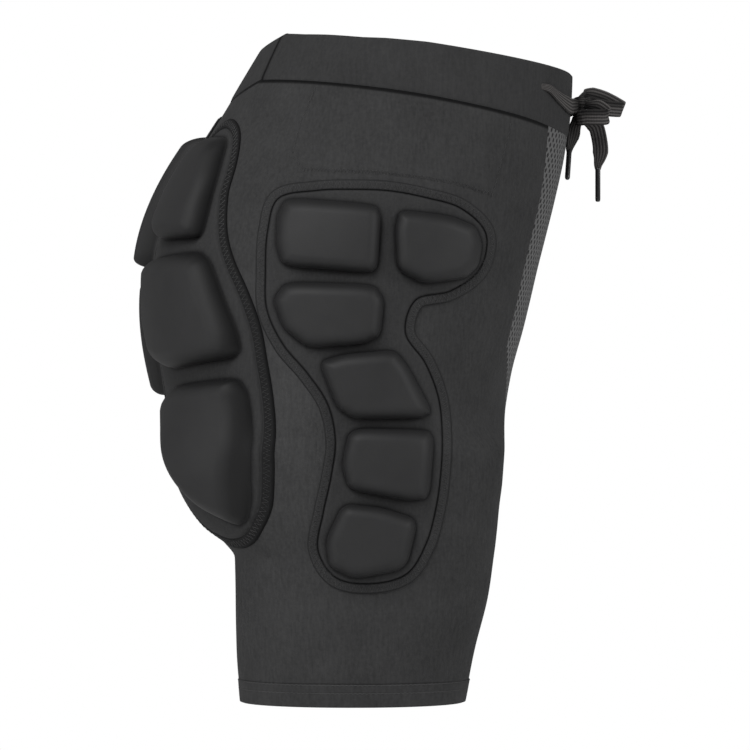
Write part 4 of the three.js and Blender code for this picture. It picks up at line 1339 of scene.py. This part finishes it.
HEADINGS = {"right": (12, -1.8, -20.7), "left": (0, 0, -1)}


def open_curve(knots, number):
    """Smooth open curve through knots of any width, at even steps."""
    knots = np.asarray(knots, float)
    first, last = 2 * knots[0] - knots[1], 2 * knots[-1] - knots[-2]
    line = np.vstack([first, knots, last])
    parts = []
    for a, b, c, d in zip(line, line[1:], line[2:], line[3:]):
        parts.append(smooth_run(a, b, c, d, 24))
    dense = np.vstack(parts + [knots[-1:]])
    along = np.concatenate([[0], np.cumsum(np.linalg.norm(np.diff(dense[:, :3], axis=0), axis=1))])
    want = np.linspace(0, along[-1], number)
    return np.stack([np.interp(want, along, dense[:, i]) for i in range(dense.shape[1])], -1), along[-1]


KNOT_PAINTED_SHADE, KNOT_SHADE_REACH = 0.25, 17.0
LOOP_INSIDE_SHADE, LOOP_FROM, TAIL_FROM = 0.25, 1.0, -7.0
LOOP_LOW = {"right": -12.5, "left": -4.5}
TAIL_SHADE = {"right": 0.5, "left": 0.9}


def ribbon(name, stretches, hand):
    """Flat tape with rounded edges. It is squeezed at the eyelet, in the knot and at the tip."""
    knots = [(*place, *across) for stretch in stretches for place, across in stretch]
    squeezes = np.array([stretch[k][0] for stretch in stretches for k in (0, -1)]) * [-1, -1, 1]
    stations, length = open_curve(knots, int(260 * DETAIL))
    centre = stations[:, :3] * [-1, -1, 1]
    across = stations[:, 3:] * [-1, -1, 1]
    run = unit(np.gradient(centre, axis=0))
    wide = unit(across - np.sum(across * run, axis=1, keepdims=True) * run)
    thick = np.cross(run, wide)
    near = np.linalg.norm(centre[:, None] - squeezes[None], axis=2).min(1)
    spread = np.minimum(1, TAPE_SQUEEZED + (1 - TAPE_SQUEEZED) * near / SQUEEZE_REACH)
    for end, reach in ((centre[0], EYELET_REACH), (centre[-1], TIP_REACH)):
        away = np.linalg.norm(centre - end, axis=1) / reach
        spread = np.minimum(spread, END_SQUEEZED + (1 - END_SQUEEZED) * away)
    wide = wide * spread[:, None]
    thick = thick * (1 + 0.5 * (1 - spread))[:, None]
    angle = np.linspace(0, 2 * math.pi, 20, endpoint=False)
    wide_share = np.sign(np.cos(angle)) * np.abs(np.cos(angle)) ** 0.45
    thick_share = np.sign(np.sin(angle)) * np.abs(np.sin(angle)) ** 0.7
    points = (centre[:, None] + wide[:, None] * (wide_share * TAPE_WIDTH / 2)[None, :, None]
              + thick[:, None] * (thick_share * TAPE_THICKNESS / 2)[None, :, None])
    rows, cols = points.shape[:2]
    faces = [tuple(f) for f in grid_faces(rows, cols, wrap_cols=True)]
    faces += [tuple(range(cols))[::-1], tuple((rows - 1) * cols + np.arange(cols))]
    along = np.linspace(0, length, rows)[:, None].repeat(cols, 1)
    uv = np.stack([along, (wide_share * TAPE_WIDTH / 2)[None].repeat(rows, 0)], -1).reshape(-1, 2)
    # Painted shade: darker towards the knot, on the inner face of each loop, and on the tails, most on the
    # right one.
    knot_place = np.array([-KNOT_SIDE, -KNOT_FORE, KNOT_HEIGHT])
    from_centre = np.linalg.norm(centre - knot_place, axis=1)
    tone = np.clip(from_centre / KNOT_SHADE_REACH, KNOT_PAINTED_SHADE, 1)[:, None].repeat(cols, 1)
    fore, rise = (knot_place - centre)[:, 1], (centre - knot_place)[:, 2]
    in_loop = (fore > LOOP_FROM) & (rise > LOOP_LOW[hand])
    loop_centre = centre[in_loop].mean(0)
    inner = np.einsum("rcx,rx->rc", points - centre[:, None], loop_centre - centre) > 0
    tone[in_loop[:, None] & inner] *= LOOP_INSIDE_SHADE
    tone[~in_loop & (rise < TAIL_FROM)] *= TAIL_SHADE[hand]
    piece = add_piece(name, points.reshape(-1, 3), faces, tape_look, uv, "tape", tone)
    outward(piece)
    return piece, centre, length


TIP_OVERLAP = 1.5


def aglet(name, end, heading):
    """Moulded tip on the tape's end: a slim sleeve with a rounded nose, along its heading."""
    profile = [(0.0, 0.0), (0.75, 0.0), (0.95, 0.4), (1.0, 1.2), (1.0, AGLET_LENGTH - 2.0),
               (0.92, AGLET_LENGTH - 0.9), (0.7, AGLET_LENGTH - 0.2), (0.0, AGLET_LENGTH)]
    angle = np.linspace(0, 2 * math.pi, 24, endpoint=False)[:, None]
    start = np.array(end) * [-1, -1, 1]
    along = unit(np.array(heading, float) * [-1, -1, 1])
    first = unit(np.cross(along, [1.0, 0.0, 0.0]))
    second = np.cross(along, first)
    round_it = first * np.cos(angle) + second * np.sin(angle)
    rings = [start + along * (reach - TIP_OVERLAP) + AGLET_RADIUS * share * round_it
             for share, reach in profile[1:-1]]
    ends = [start + along * (reach - TIP_OVERLAP) for _, reach in (profile[0], profile[-1])]
    points = np.vstack(rings + [ends])
    faces = [tuple(f) for f in grid_faces(len(rings), 24, wrap_cols=True)]
    last = (len(rings) - 1) * 24
    top_point, nose = len(points) - 2, len(points) - 1
    faces += [((k + 1) % 24, k, top_point) for k in range(24)]
    faces += [(last + k, last + (k + 1) % 24, nose) for k in range(24)]
    piece = add_piece(name, points, faces, aglet_look)
    outward(piece)
    return piece


tapes = {}
for hand, stretches in ROUTES.items():
    strand, centre, length = ribbon(f"drawstring_{hand}_tape", stretches, hand)
    tip = aglet(f"aglet_{hand}_tip", stretches[-1][-1][0], HEADINGS[hand])
    tapes[hand] = (strand, centre, length, tip)
    print(hand, "tape length:", round(length), "mm")

# %% [markdown]
# The knot is the same tape pulled tight, so it reads as a small lump with creased folds.
# Shallow ridges round a squashed ball give that.

# %% Knot


def knot_piece():
    rows, cols = 40, 48
    polar = np.linspace(0, math.pi, rows)[:, None]
    spin = np.linspace(0, 2 * math.pi, cols, endpoint=False)[None]
    crease = 1 - 0.1 * np.abs(np.sin(2.5 * polar + 0.8 * np.sin(spin))) ** 3
    crease = crease - 0.06 * np.abs(np.sin(1.5 * spin + 2 * polar)) ** 6
    x = KNOT_HALF_WIDTH * crease * np.sin(polar) * np.cos(spin)
    y = KNOT_HALF_WIDTH * crease * np.sin(polar) * np.sin(spin)
    z = KNOT_HALF_HEIGHT * crease * np.cos(polar) * np.ones_like(spin)
    points = np.stack([x - KNOT_SIDE, y - KNOT_FORE, z + KNOT_HEIGHT], -1).reshape(-1, 3)
    spin_all, polar_all = np.broadcast_arrays(spin, polar)
    uv = np.stack([spin_all * KNOT_HALF_WIDTH, polar_all * KNOT_HALF_HEIGHT], -1)
    # Painted shade: the knot is darkened all over.
    tone = np.full(len(points), 2 * KNOT_PAINTED_SHADE)
    piece = add_piece("bow_knot_tape", points, grid_faces(rows, cols, wrap_cols=True), tape_look,
                      uv.reshape(-1, 2), "tape", tone)
    work = bmesh.new()
    work.from_mesh(piece.data)
    bmesh.ops.remove_doubles(work, verts=work.verts, dist=1e-7)
    bmesh.ops.recalc_face_normals(work, faces=work.faces)
    work.to_mesh(piece.data)
    work.free()
    return piece


knot = knot_piece()
print("knot triangles:", count(knot))

# %% [markdown]
# ## Joining the pieces to the frame
#
# Every piece rides the one body of the shorts and stands for a frame node, or for several.

# %% Ride and replace


def joined(piece, slot, *nodes):
    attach(piece, "root")
    if nodes:
        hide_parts(*nodes)


joined(side_right, "knit_fabric", "side_panel_right")
joined(side_left, "knit_fabric", "side_panel_left")
joined(mesh_half, "mesh_fabric", "front_mesh")
joined(band_front, "waistband_knit", "waistband_front")
joined(band_back, "waistband_knit", "waistband_back")
joined(hem_right, "knit_fabric", "leg_hem_right")
joined(hem_left, "knit_fabric", "leg_hem_left")
joined(hip_back, "quilted_fabric", "hip_pad_backing_right")
joined(hip_back_left, "quilted_fabric", "hip_pad_backing_left")
joined(seat_back, "quilted_fabric", "seat_pad_backing_right")
joined(seat_back_left, "quilted_fabric", "seat_pad_backing_left")
joined(tail_back, "quilted_fabric", "tailbone_backing")


def cloth_area(piece):
    """One side's area in square metres of a closed sheet."""
    return sum(face.area for face in piece.data.polygons) / 2


def declare_cloth(piece, width, length, with_pieces=(), worn_stretch=1.0):
    """Prints the flat cut and area of a sheet cut to width and length in millimetres. Worn, it is stretched
    by a share both ways.
    """
    flat = (width * MM / worn_stretch, length * MM / worn_stretch)
    area = min(cloth_area(piece) / worn_stretch**2, flat[0] * flat[1])
    print(piece.name, "cut:", [round(x, 3) for x in flat], "m, area:", round(area, 4), "m2")


def sheet_span(piece):
    """Width round the body and height of a sheet, from its map in millimetres."""
    corners = np.empty(len(piece.data.loops) * 2)
    piece.data.uv_layers["cloth"].data.foreach_get("uv", corners)
    return np.ptp(corners.reshape(-1, 2), axis=0)


KNIT_STRETCH = 1.05
for panel, hem, rows in ((side_right, hem_right, layers[:3] + hem_rows[:2]),
                         (side_left, hem_left, layers[3:] + hem_rows[2:])):
    wide, tall = sheet_span(panel)
    declare_cloth(panel, wide, tall, [hem] + rows, KNIT_STRETCH)
wide, tall = sheet_span(mesh_half)
declare_cloth(mesh_half, 2 * wide, tall, (), KNIT_STRETCH)
for band in (band_front, band_back):
    tall = BAND_SIDE_HEIGHT + (BAND_EXTRA_FRONT if band is band_front else BAND_EXTRA_BACK)
    wide = cloth_area(band) / (tall * MM) / MM
    declare_cloth(band, wide, tall, (), KNIT_STRETCH)
BACKING_CURVE = 1.25
for piece, pad, row, under in (
        (hip_back, HIP_PAD, hip_stitch, side_right),
        (seat_back, SEAT_PAD, seat_stitch, side_right),
        (hip_back_left, HIP_PAD, hip_stitch_left, side_left),
        (seat_back_left, SEAT_PAD, seat_stitch_left, side_left),
        (tail_back, TAIL_PAD, tail_stitch, side_right)):
    wide, tall = 2 * (pad["half_width"] + FLANGE), pad["height"] + 2 * FLANGE
    declare_cloth(piece, BACKING_CURVE * wide, tall, [row])

for cell in cells:
    joined(cell, "moulded_foam", cell.name.replace("_foam", ""))
for row in [hip_stitch, hip_stitch_left, seat_stitch, seat_stitch_left, tail_stitch]:
    joined(row, "quilted_fabric")
for row in layers + hem_rows:
    joined(row, "knit_fabric")
joined(knot, "flat_tape", "bow_knot")
for hand, (strand, centre, length, tip) in tapes.items():
    joined(strand, "flat_tape", f"drawstring_lead_{hand}", f"bow_loop_{hand}", f"bow_tail_{hand}")
    joined(tip, "aglet_plastic", f"aglet_{hand}")
    (centre[0] * MM).tolist()
    length * MM
    (centre * MM).tolist()

# %% [markdown]
# ## Floor, light and camera
#
# The photograph is a plain studio picture on white, taken square from the wearer's right.
# The cloth is nearly black, so its form comes from a large light high up behind, a weak one
# low behind and a tall one in front, over an even fill. The camera is level with the middle
# of the picture and stands 3.4 m away.

# %% Stage
CAMERA_DISTANCE = 3.4
PIXEL = 0.0007
PICTURE = 750
AIM_FORE, AIM_HEIGHT = -0.0354, -0.2241
FILL_LIGHT = 0.27


def plain(name, colour, roughness):
    return Shader(name, colour, roughness).material


floor_data = bpy.data.meshes.new("floor")
floor_z = -(LENGTH_TO_HEM * MM) - 0.35
FLOOR_HALF = 3.7
floor_corners = [(x * FLOOR_HALF, y * FLOOR_HALF, floor_z) for x, y in ((-1, -1), (1, -1), (1, 1), (-1, 1))]
floor_data.from_pydata(floor_corners, [], [(0, 1, 2, 3)])
floor_data.materials.append(plain("floor_pale", (0.9, 0.9, 0.9), 0.9))
floor = bpy.data.objects.new("floor", floor_data)
bpy.context.scene.collection.objects.link(floor)

scene = bpy.context.scene
world_data = bpy.data.worlds.new("studio")
world_data.use_nodes = True
sky = world_data.node_tree
backdrop = sky.nodes["Background"]
backdrop.inputs["Color"].default_value = (1, 1, 1, 1)
seen = sky.nodes.new("ShaderNodeLightPath")
bright = sky.nodes.new("ShaderNodeMapRange")
bright.inputs["To Min"].default_value = FILL_LIGHT
bright.inputs["To Max"].default_value = 1.0
sky.links.new(seen.outputs["Is Camera Ray"], bright.inputs["Value"])
sky.links.new(bright.outputs["Result"], backdrop.inputs["Strength"])
scene.world = world_data
scene.view_settings.view_transform = "Standard"


def lamp(name, place, aim, width, height, power):
    data = bpy.data.lights.new(name, "AREA")
    data.shape, data.size, data.size_y, data.energy = "RECTANGLE", width, height, power
    light = bpy.data.objects.new(name, data)
    light.location = place
    light.rotation_euler = (Vector(aim) - Vector(place)).to_track_quat("-Z", "Y").to_euler()
    scene.collection.objects.link(light)


CENTRE = (0, 0.03, -0.22)
lamp("key", (-2.3, 1.1, 2.2), CENTRE, 1.6, 1.6, 95)
lamp("back", (-1.0, 2.4, 0.4), CENTRE, 0.8, 1.6, 16)
lamp("front", (-0.95, -2.8, 0.9), CENTRE, 0.8, 1.6, 44)

camera_data = bpy.data.cameras.new("camera")
camera_data.sensor_width = 36.0
camera_data.lens = 36.0 * CAMERA_DISTANCE / (PICTURE * PIXEL)
camera_data.clip_end = 50
camera = bpy.data.objects.new("camera", camera_data)
camera.location = (-CAMERA_DISTANCE, -AIM_FORE, AIM_HEIGHT)
camera.rotation_euler = (math.radians(90), 0, math.radians(-90))
scene.collection.objects.link(camera)
scene.camera = camera
print("lens:", round(camera_data.lens, 1), "mm")
